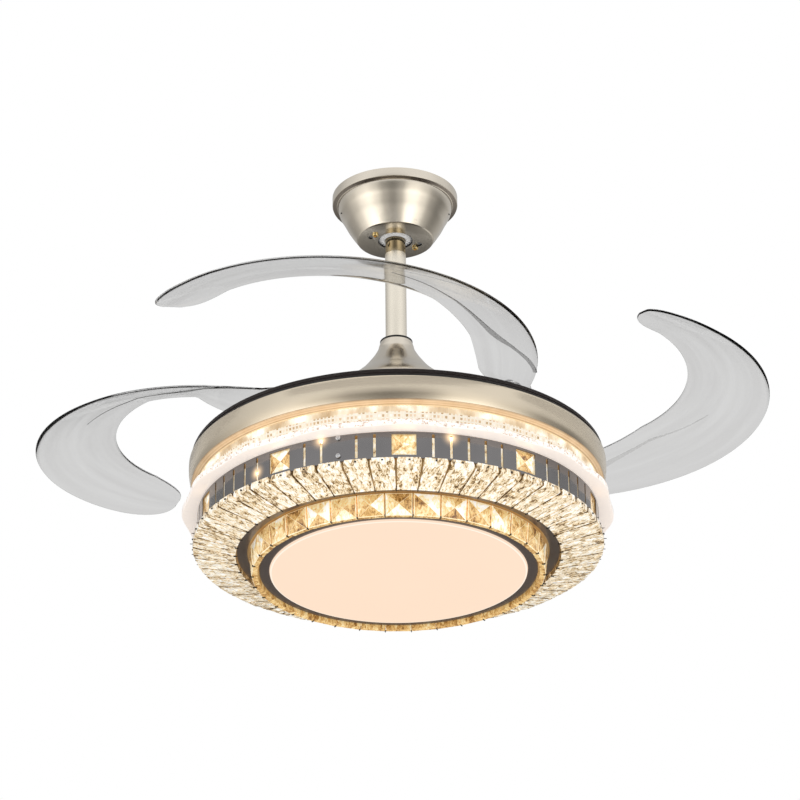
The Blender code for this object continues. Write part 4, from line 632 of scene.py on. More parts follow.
def keep(name, bm, finishName, body, node=None, sharp=None):
    mesh = bpy.data.meshes.new(name)
    bm.to_mesh(mesh)
    bm.free()
    piece = bpy.data.objects.new(name, mesh)
    scene.collection.objects.link(piece)
    mesh.materials.append(finishes[finishName])
    mesh.shade_smooth()
    mesh.set_sharp_from_angle(angle=math.radians(sharp or detail["sharpAngle"]))
    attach(piece, body)
    if node:
        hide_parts(node)
    return piece


def paint(piece, finishName, picks):
    # gives a second finish to the faces that picks accepts
    mesh = piece.data
    mesh.materials.append(finishes[finishName])
    for face in mesh.polygons:
        if picks(face.center, face.normal):
            face.material_index = len(mesh.materials) - 1


def softened(points, radius, steps=3):
    # rounds every corner of a closed section with a short curve
    made = []
    for index, point in enumerate(points):
        here = Vector(point)
        before = Vector(points[index - 1]) - here
        after = Vector(points[(index + 1) % len(points)]) - here
        reach = min(radius, before.length * 0.45, after.length * 0.45)
        start = here + before.normalized() * reach
        end = here + after.normalized() * reach
        for step in range(steps + 1):
            share = step / steps
            made.append(tuple(start.lerp(here, share).lerp(here.lerp(end, share), share)))
    return made


def flowing(points, steps=6):
    # a smooth line through the given points
    made = []
    for index in range(len(points) - 1):
        quad = [Vector(points[max(0, min(len(points) - 1, index + shift))]) for shift in (-1, 0, 1, 2)]
        for step in range(steps):
            share = step / steps
            line = (quad[1] * 2 + (quad[2] - quad[0]) * share
                    + (quad[0] * 2 - quad[1] * 5 + quad[2] * 4 - quad[3]) * share ** 2
                    + (quad[1] * 3 - quad[0] - quad[2] * 3 + quad[3]) * share ** 3) / 2
            made.append(tuple(line))
    made.append(tuple(points[-1]))
    return made


def walled(line, wall):
    # closes an outer line, top to bottom, into a wall's section
    inner = []
    for index, point in enumerate(line):
        before = Vector(line[max(0, index - 1)])
        after = Vector(line[min(len(line) - 1, index + 1)])
        along = (after - before).normalized()
        inner.append((point[0] + along.y * wall, point[1] - along.x * wall))
    return list(line) + inner[::-1]


def tidied(bm):
    bmesh.ops.remove_doubles(bm, verts=bm.verts, dist=detail["weld"])
    bmesh.ops.recalc_face_normals(bm, faces=bm.faces)
    return bm


def capped(bm):
    bmesh.ops.holes_fill(bm, edges=[edge for edge in bm.edges if edge.is_boundary], sides=0)
    bmesh.ops.recalc_face_normals(bm, faces=bm.faces)
    return bm


def spun(points, steps=None, closed=True):
    bm = bmesh.new()
    corners = [bm.verts.new((radius, 0.0, height)) for radius, height in points]
    edges = [bm.edges.new(pair) for pair in zip(corners, corners[1:])]
    if closed:
        edges.append(bm.edges.new((corners[-1], corners[0])))
    bmesh.ops.spin(bm, geom=corners + edges, cent=(0.0, 0.0, 0.0), axis=(0.0, 0.0, 1.0),
                   dvec=(0.0, 0.0, 0.0), angle=math.tau, steps=steps or detail["roundSteps"],
                   use_merge=True, use_duplicate=False)
    return tidied(bm)


def ringSection(outer, inner, high, low):
    return [(outer, high), (outer, low), (inner, low), (inner, high)]


def boxBetween(low, high):
    bm = bmesh.new()
    size = Vector(high) - Vector(low)
    middle = (Vector(high) + Vector(low)) / 2
    bmesh.ops.create_cube(bm, size=1.0, matrix=Matrix.Translation(middle) @ Matrix.Diagonal((*size, 1.0)))
    return bm


def moved(bm, place):
    bmesh.ops.transform(bm, matrix=place, verts=bm.verts)
    return bm


def roundBar(radius, low, high, steps, place):
    bm = bmesh.new()
    bmesh.ops.create_cone(bm, cap_ends=True, segments=steps, radius1=radius, radius2=radius,
                          depth=high - low, matrix=Matrix.Translation((0.0, 0.0, (low + high) / 2)))
    return moved(bm, place)


def easeEdges(bm, width, segments=2, sharper=30.0):
    edges = [edge for edge in bm.edges if len(edge.link_faces) == 2
             and edge.calc_face_angle() > math.radians(sharper)]
    bmesh.ops.bevel(bm, geom=edges, offset=width, offset_type="OFFSET", affect="EDGES", segments=segments,
                    profile=0.5, material=-1, clamp_overlap=True)
    return bm


def addInto(bm, other, place):
    mesh = bpy.data.meshes.new("joined")
    moved(other, place).to_mesh(mesh)
    other.free()
    bm.from_mesh(mesh)
    bpy.data.meshes.remove(mesh)


def cutAway(bm, cutter):
    # the shape of bm less the cutter's, made with a Boolean that is applied at once
    made = []
    for shape in (bm, cutter):
        mesh = bpy.data.meshes.new("cutting")
        shape.to_mesh(mesh)
        shape.free()
        thing = bpy.data.objects.new("cutting", mesh)
        scene.collection.objects.link(thing)
        made.append(thing)
    step = made[0].modifiers.new("cut", "BOOLEAN")
    step.operation = "DIFFERENCE"
    step.object = made[1]
    bpy.context.view_layer.update()
    result = bpy.data.meshes.new_from_object(made[0].evaluated_get(bpy.context.evaluated_depsgraph_get()))
    for thing in made:
        mesh = thing.data
        bpy.data.objects.remove(thing, do_unlink=True)
        bpy.data.meshes.remove(mesh)
    out = bmesh.new()
    out.from_mesh(result)
    bpy.data.meshes.remove(result)
    return out


def turnedBy(angle):
    return Matrix.Rotation(angle, 4, "Z")


def placeAt(x, y, z):
    return Matrix.Translation((x, y, z))


def headUp(x, y, z):
    return placeAt(x, y, z) @ Matrix.Rotation(math.pi, 4, "X")


def box(node):
    low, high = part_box(node)
    return Vector(low), Vector(high)


def faceFrame(high, low, angle):
    # a flat place on a cone: X along the slope from high to low, Y sideways, Z outwards
    start = Vector((high[0], 0.0, high[1]))
    end = Vector((low[0], 0.0, low[1]))
    along = (end - start).normalized()
    side = Vector((0.0, 1.0, 0.0))
    out = along.cross(side)
    if out.dot(Vector((1.0, 0.0, -0.5))) < 0.0:
        side = -side
        out = -out
    place = Matrix((along, side, out)).transposed().to_4x4()
    place.translation = start
    return turnedBy(angle) @ place, (end - start).length


screwHead = {  # shares of the head's radius and height
    "profile": ((1.0, 0.45), (0.9, 0.78), (0.62, 0.96)),
    "slotHalf": 0.55,
    "slotFloor": 0.5,
    "slotWidth": 0.00055,
    "slotTurn": 0.4,
    "steps": 28,
}


def crossHead(radius, height, shank, length, slotWidth=screwHead["slotWidth"]):
    # a pan-head screw, head down, its seat at the origin
    line = [(0.0, length), (shank, length), (shank, 0.0), (radius, 0.0)]
    line += [(radius * out, -height * down) for out, down in screwHead["profile"]]
    bm = spun(line + [(0.0, -height)], screwHead["steps"], closed=False)
    half = radius * screwHead["slotHalf"]
    floor = -height * screwHead["slotFloor"]
    for angle in (0.0, quarterTurn):
        slot = boxBetween((-half, -slotWidth, -height * 2), (half, slotWidth, floor))
        bm = cutAway(bm, moved(slot, turnedBy(angle + screwHead["slotTurn"])))
    return bm


# Canopy, with its screws, and the ball in its hole. Screws: head radius and height, shank, length, slot
canopy = {
    "rimBand": 0.0115,
    "rimFoot": ((0.0, 0.0009), (0.0002, 0.0003), (0.0008, 0.0)),
    "shoulder": (0.0010, 0.0006),
    "wall": 0.0012,
    "hole": 0.0215,
    "bowl": [(0.0716, -0.0127), (0.0712, -0.0150), (0.0700, -0.0190), (0.0680, -0.0240), (0.0653, -0.0290),
             (0.0625, -0.0345), (0.0595, -0.0406), (0.0560, -0.0465), (0.0525, -0.0520), (0.0498, -0.0560),
             (0.0482, -0.0584), (0.0472, -0.0597), (0.0458, -0.0603)],
    "keyholeWidth": 0.0026,
    "keyholeEnd": 0.0048,
    "keyholeTurn": 17.0,
    "keyholeDeep": 0.004,
    "flangeRise": 0.03,
    "topEdge": 0.0002,
    "rollRadius": 0.0009,
    "rollFlat": 0.4,
    "sideScrews": (-3.0, -172.3),
    "sideScrewPlace": (0.0672, -0.0249),
    "sideScrewTilt": 28.0,
    "sideScrew": (0.0015, 0.0007, 0.0009, 0.0016, 0.0002),
    "screwShank": 0.0019,
    "screwSink": 0.0003,
}


def screwAngle():
    low, high = box("canopy_screw_left")
    middle = (low + high) / 2
    return math.atan2(middle.y, middle.x), math.hypot(middle.x, middle.y)


# picks the faces inside the bowl, which are painted black: painted shade in the hollow
def facesInHollowShade(middle, normal):
    outwards = Vector((middle.x, middle.y, -math.hypot(middle.x, middle.y)))
    return normal.dot(outwards) < 0.0 and middle.z < -canopy["topEdge"]


def makeCanopy():
    low, high = box("canopy")
    under = high.z - canopy["rimBand"]
    out, down = canopy["shoulder"]
    line = [(high.x, high.z)] + [(high.x - inset, under + rise) for inset, rise in canopy["rimFoot"]]
    line.append((canopy["bowl"][0][0] + out, under - down))
    line += flowing(canopy["bowl"])
    line.append((canopy["hole"], low.z))
    bm = spun(walled(line, canopy["wall"]))
    angle, circle = screwAngle()
    deep = canopy["keyholeDeep"]
    for side in (0.0, math.pi):
        for share in (0.0, 0.25, 0.5, 0.75, 1.0):
            turn = side + angle - share * math.radians(canopy["keyholeTurn"])
            radius = canopy["keyholeEnd"] if share == 1.0 else canopy["keyholeWidth"]
            place = placeAt(circle * math.cos(turn), circle * math.sin(turn), low.z)
            bm = cutAway(bm, roundBar(radius, -deep, deep, 20, place))
    piece = keep("canopyBowl", bm, "nickel", "ceiling_mount", "canopy")
    flange = low.z + canopy["flangeRise"]
    # the downward faces under the rim take the darker nickel: painted shade
    paint(piece, "paintedShadeNickel", lambda middle, normal: normal.z < -0.9 and middle.z > flange)
    # the inside of the bowl takes black rubber: painted shade, seen through the keyholes
    paint(piece, "rubber", facesInHollowShade)
    roll, flat = canopy["rollRadius"], canopy["rollRadius"] * canopy["rollFlat"]
    ring = [(canopy["hole"] + roll * (1.0 + math.cos(turn)), low.z + flat * (1.0 + math.sin(turn)))
            for turn in (math.tau * step / 10 for step in range(10))]
    keep("canopyHoleRoll", spun(ring), "nickel", "ceiling_mount")
    screws = bmesh.new()
    lean = Matrix.Rotation(-quarterTurn - math.radians(canopy["sideScrewTilt"]), 4, "Y")
    out, height = canopy["sideScrewPlace"]
    for angle in canopy["sideScrews"]:
        place = turnedBy(math.radians(angle)) @ placeAt(out, 0.0, height) @ lean
        addInto(screws, crossHead(*canopy["sideScrew"]), place)
    keep("canopySideScrews", screws, "blackMetal", "ceiling_mount")


def makeCanopyScrews():
    seat = box("canopy")[0].z - canopy["screwSink"]
    for side in ("left", "right"):
        low, high = box("canopy_screw_" + side)
        middle = (low + high) / 2
        bm = crossHead(high.x - middle.x, seat - low.z, canopy["screwShank"], high.z - seat)
        keep("canopyScrew." + side, moved(bm, placeAt(middle.x, middle.y, seat)), "brass", "ceiling_mount",
             "canopy_screw_" + side)


ball = {
    "centreRise": 0.018,
    "boreGap": 0.0005,
    "recess": 0.0034,
    "collar": 0.0003,
    "arcSteps": 24,
    "ribs": 24,
    "ribStart": 0.0012,
    "ribEnd": 0.0196,
    "ribHalf": 0.0007,
    "ribHeights": (-0.0016, 0.0006),
}


def makeHangerBall():
    low, high = box("hanger_ball")
    centre = low.z + ball["centreRise"]
    bore = box("downrod")[1].x + ball["boreGap"]
    under = low.z + ball["recess"]
    line = []
    for step in range(ball["arcSteps"] + 1):
        height = high.z + (under - high.z) * step / ball["arcSteps"]
        line.append((math.sqrt(max(0.0, high.x ** 2 - (height - centre) ** 2)), height))
    collar = bore + ball["collar"]
    line += [(collar, under), (collar, low.z), (bore, low.z), (bore, high.z)]
    bm = spun(softened(line, 0.0004, 2), 96)
    start, end = (under + rise for rise in ball["ribHeights"])
    half = ball["ribHalf"]
    for rib in range(ball["ribs"]):  # moulded ribs on the underside
        one = boxBetween((collar + ball["ribStart"], -half, start), (ball["ribEnd"], half, end))
        addInto(bm, one, turnedBy(math.tau * rib / ball["ribs"]))
    keep("hangerBall", bm, "glowingNylon", "hanging_body", "hanger_ball")


makeCanopy()
makeCanopyScrews()
makeHangerBall()
print("canopy made")


# Downrod, rubber ring and coupling cover
rod = {"wall": 0.002, "ferrule": 0.0124, "ferruleEnd": 0.080, "ferruleGap": 0.0003, "tubeRise": 0.0002,
       "tubeEdge": (0.0003, 0.0006)}
cover = {
    "wall": 0.0012,
    "topRadius": 0.0196,
    "ringGap": 0.0003,
    "ringRound": 0.0008,
    "flare": [(0.0, 0.0), (0.0019, 0.0062), (0.0031, 0.0107), (0.0077, 0.0192), (0.0114, 0.0247),
              (0.0157, 0.0305), (0.0200, 0.0360), (0.0262, 0.0428), (0.0340, 0.0500), (0.0425, 0.0580),
              (0.0495, 0.0660), (0.0544, 0.0748)],
}


def makeDownrod():
    low, high = box("downrod")
    radius, bore = high.x, high.x - rod["wall"]
    end = -rod["ferruleEnd"]
    out, down = rod["tubeEdge"]
    line = [(rod["ferrule"], end + rod["tubeRise"]), (rod["ferrule"] + out, end), (radius, end - down),
            (radius, low.z), (bore, low.z), (bore, end + rod["tubeRise"])]
    keep("downrodTube", spun(softened(line, 0.0003, 2), 72), "rodNickel", "hanging_body",
         "downrod")
    line = ringSection(rod["ferrule"], bore, high.z, end + rod["ferruleGap"])
    keep("downrodFerrule", spun(softened(line, 0.0002, 1), 72), "ferrule", "hanging_body")


def makeCover():
    top = box("coupling_cover")[1].z
    line = flowing([(cover["topRadius"] + spread, top - drop) for spread, drop in cover["flare"]], 5)
    keep("couplingCover", spun(walled(line, cover["wall"])), "nickel", "hanging_body",
         "coupling_cover")
    low, high = box("rubber_ring")
    section = ringSection(high.x, box("downrod")[1].x + cover["ringGap"], high.z, low.z)
    keep("rubberRing", spun(softened(section, cover["ringRound"]), 72), "rubber", "hanging_body",
         "rubber_ring")


makeDownrod()
makeCover()
print("rod made")


# Motor shells, with rounded edges, and the screws on their foot
motor = {"wall": 0.003, "edge": 0.004, "lowerEdge": 0.0012, "bore": 0.012, "floor": -0.355, "screws": 6,
         "screwCircle": 0.0868, "screw": (0.0036, 0.0020, 0.0018, 0.0008)}


def makeMotor():
    low, high = box("rotor_upper_shell")
    wall, bore, floor = motor["wall"], motor["bore"], motor["floor"]
    radius = high.x
    line = [(bore, high.z), (radius, high.z), (radius, low.z), (radius - wall, low.z),
            (radius - wall, high.z - wall), (bore, high.z - wall)]
    keep("motorUpperShell", spun(softened(line, motor["edge"], 4), 96), "champagne", "rotor",
         "rotor_upper_shell")
    low, high = box("rotor_lower_shell")
    footTop = low.z + wall
    line = [(radius, high.z), (radius, footTop), (high.x, footTop), (high.x, low.z),
            (radius - 2 * wall, low.z), (radius - 2 * wall, floor), (bore, floor), (bore, floor + wall),
            (radius - wall, floor + wall), (radius - wall, high.z)]
    keep("motorLowerShell", spun(softened(line, motor["lowerEdge"]), 96), "champagne", "rotor",
         "rotor_lower_shell")
    for number in range(motor["screws"]):
        place = turnedBy(math.tau * number / motor["screws"]) @ headUp(motor["screwCircle"], 0.0, footTop)
        keep("motorFootScrew.%d" % (number + 1), moved(crossHead(*motor["screw"]), place), "steel", "rotor")


makeMotor()
print("motor made")


# Rotor disc and base, with the bosses that carry the blades
disc = {
    "top": -0.361,
    "plate": 0.0025,
    "hole": 0.060,
    "rimWall": 0.0025,
    "rimEdge": ((0.0030, 0.0), (0.0010, 0.0006), (0.0, 0.0015)),
    "grooves": 3,
    "grooveStart": 0.0019,
    "groovePitch": 0.0011,
    "groove": ((0.0, 0.0), (0.0003, 0.0002), (0.0003, 0.0004), (0.0, 0.0006)),
    "lowerDrop": 0.0004,
    "lowerStep": (0.0010, 0.0002),
    "neck": 0.0121,
    "neckDeep": 0.02,
    "bossSink": 0.0006,
    "boss": ((0.0395, -0.0006), (0.0355, 0.0006), (0.0300, 0.0030)),
    "bossTop": ((0.0260, -0.0010), (0.0220, 0.0)),
    "basePlate": 0.0014,
    "baseScrew": (0.0062, 0.0010, 0.0040, 0.0006),
    "baseScrewSeat": 0.0011,
}


def pivotPlace(number):
    joint = next(j for j in frame["record"]["behaviour"]["joints"] if j["name"] == "blade_%d_swing" % number)
    return Vector(joint["pos_m"])


def makeDisc():
    low, high = box("rotor_cover")
    radius, top, inner = high.x, disc["top"], high.x - disc["rimWall"]
    line = [(disc["hole"], top)] + [(radius - inset, top - drop) for inset, drop in disc["rimEdge"]]
    for groove in range(disc["grooves"]):
        start = top - disc["grooveStart"] - groove * disc["groovePitch"]
        line += [(radius - inset, start - drop) for inset, drop in disc["groove"]]
    stepDown = line[-1][1] - disc["lowerDrop"]
    inset, drop = disc["lowerStep"]
    line += [(radius, stepDown), (radius - inset, stepDown - drop), (radius - inset, low.z), (inner, low.z),
             (inner, top - disc["plate"]), (disc["hole"], top - disc["plate"])]
    bm = spun(line)
    places = [Matrix.Translation((*pivotPlace(number).to_2d(), 0.0)) for number in range(1, 5)]
    for place in places:
        bm = cutAway(bm, roundBar(disc["neck"], top - disc["neckDeep"], top + disc["neckDeep"], 40, place))
    rise = [(out, top + lift) for out, lift in disc["boss"]]
    rise += [(out, high.z + lift) for out, lift in disc["bossTop"]]
    section = [(disc["neck"], top - disc["bossSink"]), *flowing(rise, 3), (disc["neck"], high.z)]
    for place in places:
        addInto(bm, spun(section, 64), place)
    keep("rotorCover", bm, "blackPlastic", "rotor", "rotor_cover")
    low, high = box("rotor_base")
    bm = spun(softened([(high.x, low.z + disc["basePlate"]), (high.x, low.z), (disc["hole"], low.z),
                        (disc["hole"], low.z + disc["basePlate"])], 0.0005, 2))
    for place in places:
        addInto(bm, crossHead(*disc["baseScrew"]), place @ placeAt(0.0, 0.0, low.z + disc["baseScrewSeat"]))
    keep("rotorBase", bm, "blackMetal", "rotor", "rotor_base")


makeDisc()
print("disc made")


# Blades: the crescent between two arcs, pitched and cambered, on a flat root, with its moulded ridges
blade = {
    "swing": 65.78,
    "outerRadius": 0.2300,
    "outerAngles": (284.0, 106.7),
    "innerRadius": 0.1746,
    "innerShift": (0.0409, 0.0096),
    "innerAngles": (260.0, 119.0),
    "thick": 0.0026,
    "edgeThick": 0.0012,
    "edgeShares": (0.95, 0.985),
    "edgeRound": 0.0003,
    "rootRise": 0.0188,
    "rise": 0.0332,
    "pitch": ((0.0, 0.0200), (0.26, 0.0342), (0.85, 0.0238), (1.0, 0.0107)),
    "tipShare": 0.852,
    "tipEnd": 0.9746,
    "tipPower": 3.0,
    "tipLean": 0.100,
    "tipLift": 0.0019,
    "camber": 0.0040,
    "camberFull": 0.26,
    "seat": 0.0210,
    "cap": 0.0420,
    "settle": 0.086,
    "capRows": 12,
    "bodyRows": 84,
    "tipRows": 16,
    "columns": 18,
    "endTurn": quarterTurn * 0.97,  # the last row stops short of a point
    "hole": 0.0083,
}
bladeSeat = disc["top"] + blade["seat"]


def clamp(value, low, high):
    return min(1.0, max(0.0, (value - low) / (high - low)))


def arcPoint(angles, radius, along):
    # a point on an arc round the centre that the closed blades share
    pivot = pivotPlace(1).to_2d()
    first, last = (math.radians(angle) for angle in angles)
    turn = first + (last - first) * along
    centre = pivot + Matrix.Rotation(math.radians(blade["swing"]), 2) @ -pivot
    return centre + Vector((math.cos(turn), math.sin(turn))) * radius


def bladePoint(along, across):
    outer = arcPoint(blade["outerAngles"], blade["outerRadius"], along)
    inner = arcPoint(blade["innerAngles"], blade["innerRadius"], along) + Vector(blade["innerShift"])
    ending = clamp(along, blade["tipShare"], blade["tipEnd"])
    reach = across * max(0.0, 1.0 - ending ** blade["tipPower"]) ** (1.0 / blade["tipPower"])
    pitch = blade["pitch"][0][1]
    for (start, before), (end, after) in zip(blade["pitch"], blade["pitch"][1:]):
        pitch += (after - before) * clamp(along, start, end)
    place = (outer + inner) / 2 + (inner - outer) / 2 * (reach - blade["tipLean"] * ending ** 2)
    camber = blade["camber"] * (1.0 - reach ** 2) * clamp(along, 0.0, blade["camberFull"])
    height = disc["top"] + blade["rootRise"] + blade["rise"] * along + pitch * (1.0 + reach) / 2 + camber
    height += blade["tipLift"] * ending
    return Vector((place.x, place.y, bladeSeat + (height - bladeSeat) * clamp(along, 0.0, blade["settle"])))


def capPoint(beyond, across):
    # the round end of the root, past the pivot
    pivot = pivotPlace(1)
    first = bladePoint(0.0, 0.0)
    half = (bladePoint(0.0, 1.0) - bladePoint(0.0, -1.0)) / 2
    forward = (Vector((pivot.x, pivot.y, bladeSeat)) - first).normalized()
    return first + forward * blade["cap"] * beyond + half * across * math.sqrt(max(0.0, 1.0 - beyond ** 2))


def bladeRows():
    caps, bodies, tips = blade["capRows"], blade["bodyRows"], blade["tipRows"]
    tip, end = blade["tipShare"], blade["tipEnd"]
    rows = [(capPoint, math.sin(blade["endTurn"] * (1.0 - step / caps))) for step in range(caps)]
    rows += [(bladePoint, tip * step / bodies) for step in range(bodies + 1)]
    ends = (math.sin(blade["endTurn"] * step / tips) for step in range(1, tips + 1))
    return rows + [(bladePoint, tip + (end - tip) * share) for share in ends]


def rowAt(vert, count):
    # the row of a grid's vertex, before it is moved to its place
    return round((vert.co.x + 1.0) / 2 * count)


def makeBlade(number):
    rows = bladeRows()
    last = len(rows) - 1
    bm = bmesh.new()
    bmesh.ops.create_grid(bm, x_segments=last, y_segments=blade["columns"], size=1.0)
    spread = bm.loops.layers.uv.new("bladeSpread")
    for face in bm.faces:
        for loop in face.loops:
            maker, share = rows[rowAt(loop.vert, last)]
            loop[spread].uv = (share if maker is bladePoint else 0.0, (loop.vert.co.y + 1.0) / 2)
    halves = {}
    sideShare, endShare = blade["edgeShares"]
    for vert in bm.verts:
        maker, share = rows[rowAt(vert, last)]
        nearEdge = max(clamp(abs(vert.co.y), sideShare, 1.0), clamp(abs(vert.co.x), endShare, 1.0))
        vert.co = maker(share, vert.co.y)
        halves[vert] = (blade["thick"] + (blade["edgeThick"] - blade["thick"]) * nearEdge) / 2
    bmesh.ops.recalc_face_normals(bm, faces=bm.faces)
    bm.normal_update()
    drops = {tuple(vert.co): vert.normal * half for vert, half in halves.items()}
    lower = bm.verts[:]
    upper = [part for part in bmesh.ops.extrude_face_region(bm, geom=bm.faces[:], use_keep_orig=True)["geom"]
             if isinstance(part, bmesh.types.BMVert)]
    for side, verts in ((-1.0, lower), (1.0, upper)):
        for vert in verts:
            vert.co += drops[tuple(vert.co)] * side
    bmesh.ops.recalc_face_normals(bm, faces=bm.faces)
    easeEdges(bm, blade["edgeRound"], 2, 55.0)
    pivot = pivotPlace(1)
    bm = cutAway(bm, roundBar(blade["hole"], -0.02, 0.02, 32, placeAt(pivot.x, pivot.y, bladeSeat)))
    keep("clearBlade.%d" % number, moved(bm, turnedBy((number - 1) * quarterTurn)), "blade",
         "blade_arm_%d" % number, "blade_%d" % number, 50.0)


ridges = {
    # (along, across, half width) from the root outwards
    "path": [(0.050, -0.97, 0.0024), (0.064, -0.88, 0.0028), (0.080, -0.70, 0.0030), (0.098, -0.35, 0.0028),
             (0.122, 0.08, 0.0050), (0.155, 0.28, 0.0038), (0.208, 0.39, 0.0024), (0.277, 0.42, 0.0016),
             (0.36, 0.28, 0.0010), (0.45, 0.12, 0.0004)],
    "height": 0.0005,
    "sinkShare": 0.46,
    "sides": 8,
    # the blade whose ridge takes the paler lit copy: painted light
    "litRidgeOn": 3,
}


def surfaceFrame(along, across):
    # a point on the blade's lower face, and the blade's normal there
    small = 0.004
    along = min(0.985, max(small, along))
    alongStep = bladePoint(along + small, across) - bladePoint(along - small, across)
    acrossStep = bladePoint(along, across + small) - bladePoint(along, across - small)
    normal = alongStep.cross(acrossStep).normalized()
    if normal.z < 0.0:
        normal = -normal
    return bladePoint(along, across) - normal * blade["thick"] * ridges["sinkShare"], normal


def makeRidges(number):
    bm = bmesh.new()
    path = flowing(ridges["path"], 8)
    last = len(path) - 1
    spots = [surfaceFrame(*point[:2]) for point in path]
    bmesh.ops.create_grid(bm, x_segments=last, y_segments=ridges["sides"], size=1.0)
    bm.loops.layers.uv.new("bladeSpread")
    for vert in bm.verts:
        index = rowAt(vert, last)
        turn = math.pi * (vert.co.y + 1.0)
        place, normal = spots[index]
        ahead = (spots[min(last, index + 1)][0] - spots[max(0, index - 1)][0]).normalized()
        side = normal.cross(ahead).normalized()
        vert.co = place + side * path[index][2] * math.cos(turn) + normal * ridges["height"] * math.sin(turn)
    bmesh.ops.remove_doubles(bm, verts=bm.verts, dist=detail["weld"])
    # blade 3's ridge takes the lit copy and the others the shaded one: painted light and shade
    keep("bladeRidges.%d" % number, moved(capped(bm), turnedBy((number - 1) * quarterTurn)),
         "paintedLitRidge" if number == ridges["litRidgeOn"] else "bladeRidge", "blade_arm_%d" % number)


hub = {"bore": 0.0044, "neck": 0.0080, "foot": 0.0117, "gap": 0.0003, "screwRadius": 0.0065,
       "screwHead": 0.0022, "screwShank": 0.0040, "screwSlot": 0.0007}


def makeBladeRoot(number):
    pivot = pivotPlace(number)
    low, high = box("blade_hub_%d" % number)
    under = bladeSeat - blade["thick"] / 2 - hub["gap"]
    line = [(hub["bore"], low.z), (hub["bore"], high.z), (hub["neck"], high.z), (hub["neck"], under),
            (hub["foot"], under), (hub["foot"], low.z)]
    bm = spun(softened(line, 0.0004, 2), 48)
    keep("bladeHub.%d" % number, moved(bm, placeAt(pivot.x, pivot.y, 0.0)), "blackPlastic",
         "blade_arm_%d" % number, "blade_hub_%d" % number)
    low, high = box("pivot_screw_%d" % number)
    seat = high.z - hub["screwHead"]
    bm = crossHead(hub["screwRadius"], hub["screwHead"], hub["screwShank"], seat - low.z, hub["screwSlot"])
    keep("pivotScrew.%d" % number, moved(bm, headUp(pivot.x, pivot.y, seat)), "steel", "rotor",
         "pivot_screw_%d" % number)


spring = {"turns": 7, "wire": 0.0008, "gap": 0.0002, "stepsPerTurn": 20}


def makeSpring(number):
    pivot = pivotPlace(number)
    low, high = box("return_spring_%d" % number)
    wire = spring["wire"]
    count = spring["turns"] * spring["stepsPerTurn"]
    bm = bmesh.new()
    coil = placeAt((high.x - low.x) / 2 - wire - spring["gap"], 0.0, 0.0)
    bmesh.ops.create_circle(bm, segments=8, radius=wire, cap_ends=False,
                            matrix=coil @ Matrix.Rotation(quarterTurn, 4, "X"))
    bmesh.ops.spin(bm, geom=bm.verts[:] + bm.edges[:], cent=(0.0, 0.0, 0.0), axis=(0.0, 0.0, 1.0),
                   dvec=(0.0, 0.0, (high.z - low.z - 2 * wire) / count), angle=math.tau * spring["turns"],
                   steps=count, use_merge=False, use_duplicate=False)
    keep("returnSpring.%d" % number, moved(capped(bm), placeAt(pivot.x, pivot.y, low.z + wire)), "steel",
         "rotor", "return_spring_%d" % number)


for bladeNumber in range(1, 5):
    makeBlade(bladeNumber)
    makeRidges(bladeNumber)
    makeBladeRoot(bladeNumber)
    makeSpring(bladeNumber)
print("blades made")


# Lamp: metal ring, reflector, prism band, frosted plate and the strip of diodes
ring = {
    "wall": 0.0015,
    "line": [(0.0024, 0.0), (0.0008, 0.0004), (0.0, 0.0022), (0.0, 0.0095), (0.0003, 0.0140),
             (0.0009, 0.0183), (0.0018, 0.0225), (0.0030, 0.0260), (0.0041, 0.0285)],
    "steps": 192,
}


def makeMetalRing():
    high = box("metal_ring")[1]
    line = flowing([(high.x - inset, high.z - drop) for inset, drop in ring["line"]], 5)
    keep("metalRing", spun(walled(line, ring["wall"]), ring["steps"]), "champagne", "hanging_body",
         "metal_ring")


reflector = {
    "foot": 0.0068,
    "width": 0.0046,
    "lip": ((0.0, 0.0), (0.0008, 0.0014), (0.0022, 0.0022)),
    "shoulder": (0.0024, 0.0034),
    "heel": (0.0008, 0.0010),
    "round": 0.0005,
}


def makeReflector():
    low, high = box("reflector_ring")
    foot = high.x - reflector["foot"]
    out, drop = reflector["shoulder"]
    heel, rise = reflector["heel"]
    line = [(high.x - inset, high.z - down) for inset, down in reflector["lip"]]
    line += [(foot + out, high.z - drop), (foot + heel, low.z + rise), (foot, low.z),
             (foot - reflector["width"], low.z), (foot - reflector["width"], high.z)]
    keep("reflectorRing", spun(softened(line, reflector["round"], 2), ring["steps"]), "reflector",
         "hanging_body", "reflector_ring")


def pushOut(vert, distance):
    radius = math.hypot(vert.co.x, vert.co.y)
    vert.co.x *= (radius + distance) / radius
    vert.co.y *= (radius + distance) / radius


prism = {"depth": 0.0011, "wall": 0.0034, "rows": 5}


def makePrismBand():
    low, high = box("prism_ring")
    outer, inner = high.x, high.x - prism["wall"]
    steps = prismLook["around"] * 2
    rows = prism["rows"]
    line = [(inner, high.z), (outer, high.z)]
    line += [(outer, high.z + (low.z - high.z) * row / rows) for row in range(1, rows)]
    bm = spun(line + [(outer, low.z), (inner, low.z)], steps)
    for vert in bm.verts:  # every second line of points drops in: upright prisms with a notch between rows
        if math.hypot(vert.co.x, vert.co.y) > (outer + inner) / 2:
            index = round(math.atan2(vert.co.y, vert.co.x) * steps / math.tau)
            row = round((high.z - vert.co.z) / (high.z - low.z) * rows)
            inset = prism["depth"] if index % 2 else 0.0
            if row % 2 and 0 < row < rows:
                inset += prism["depth"] * 0.5
            pushOut(vert, -inset)
    keep("prismBand", bm, "prism", "hanging_body", "prism_ring", 12.0)


plate = {"radius": 0.2555, "width": 0.0335, "round": 0.0012, "lobes": 16, "depth": 0.0020, "start": 2.75,
         "steps": 240}


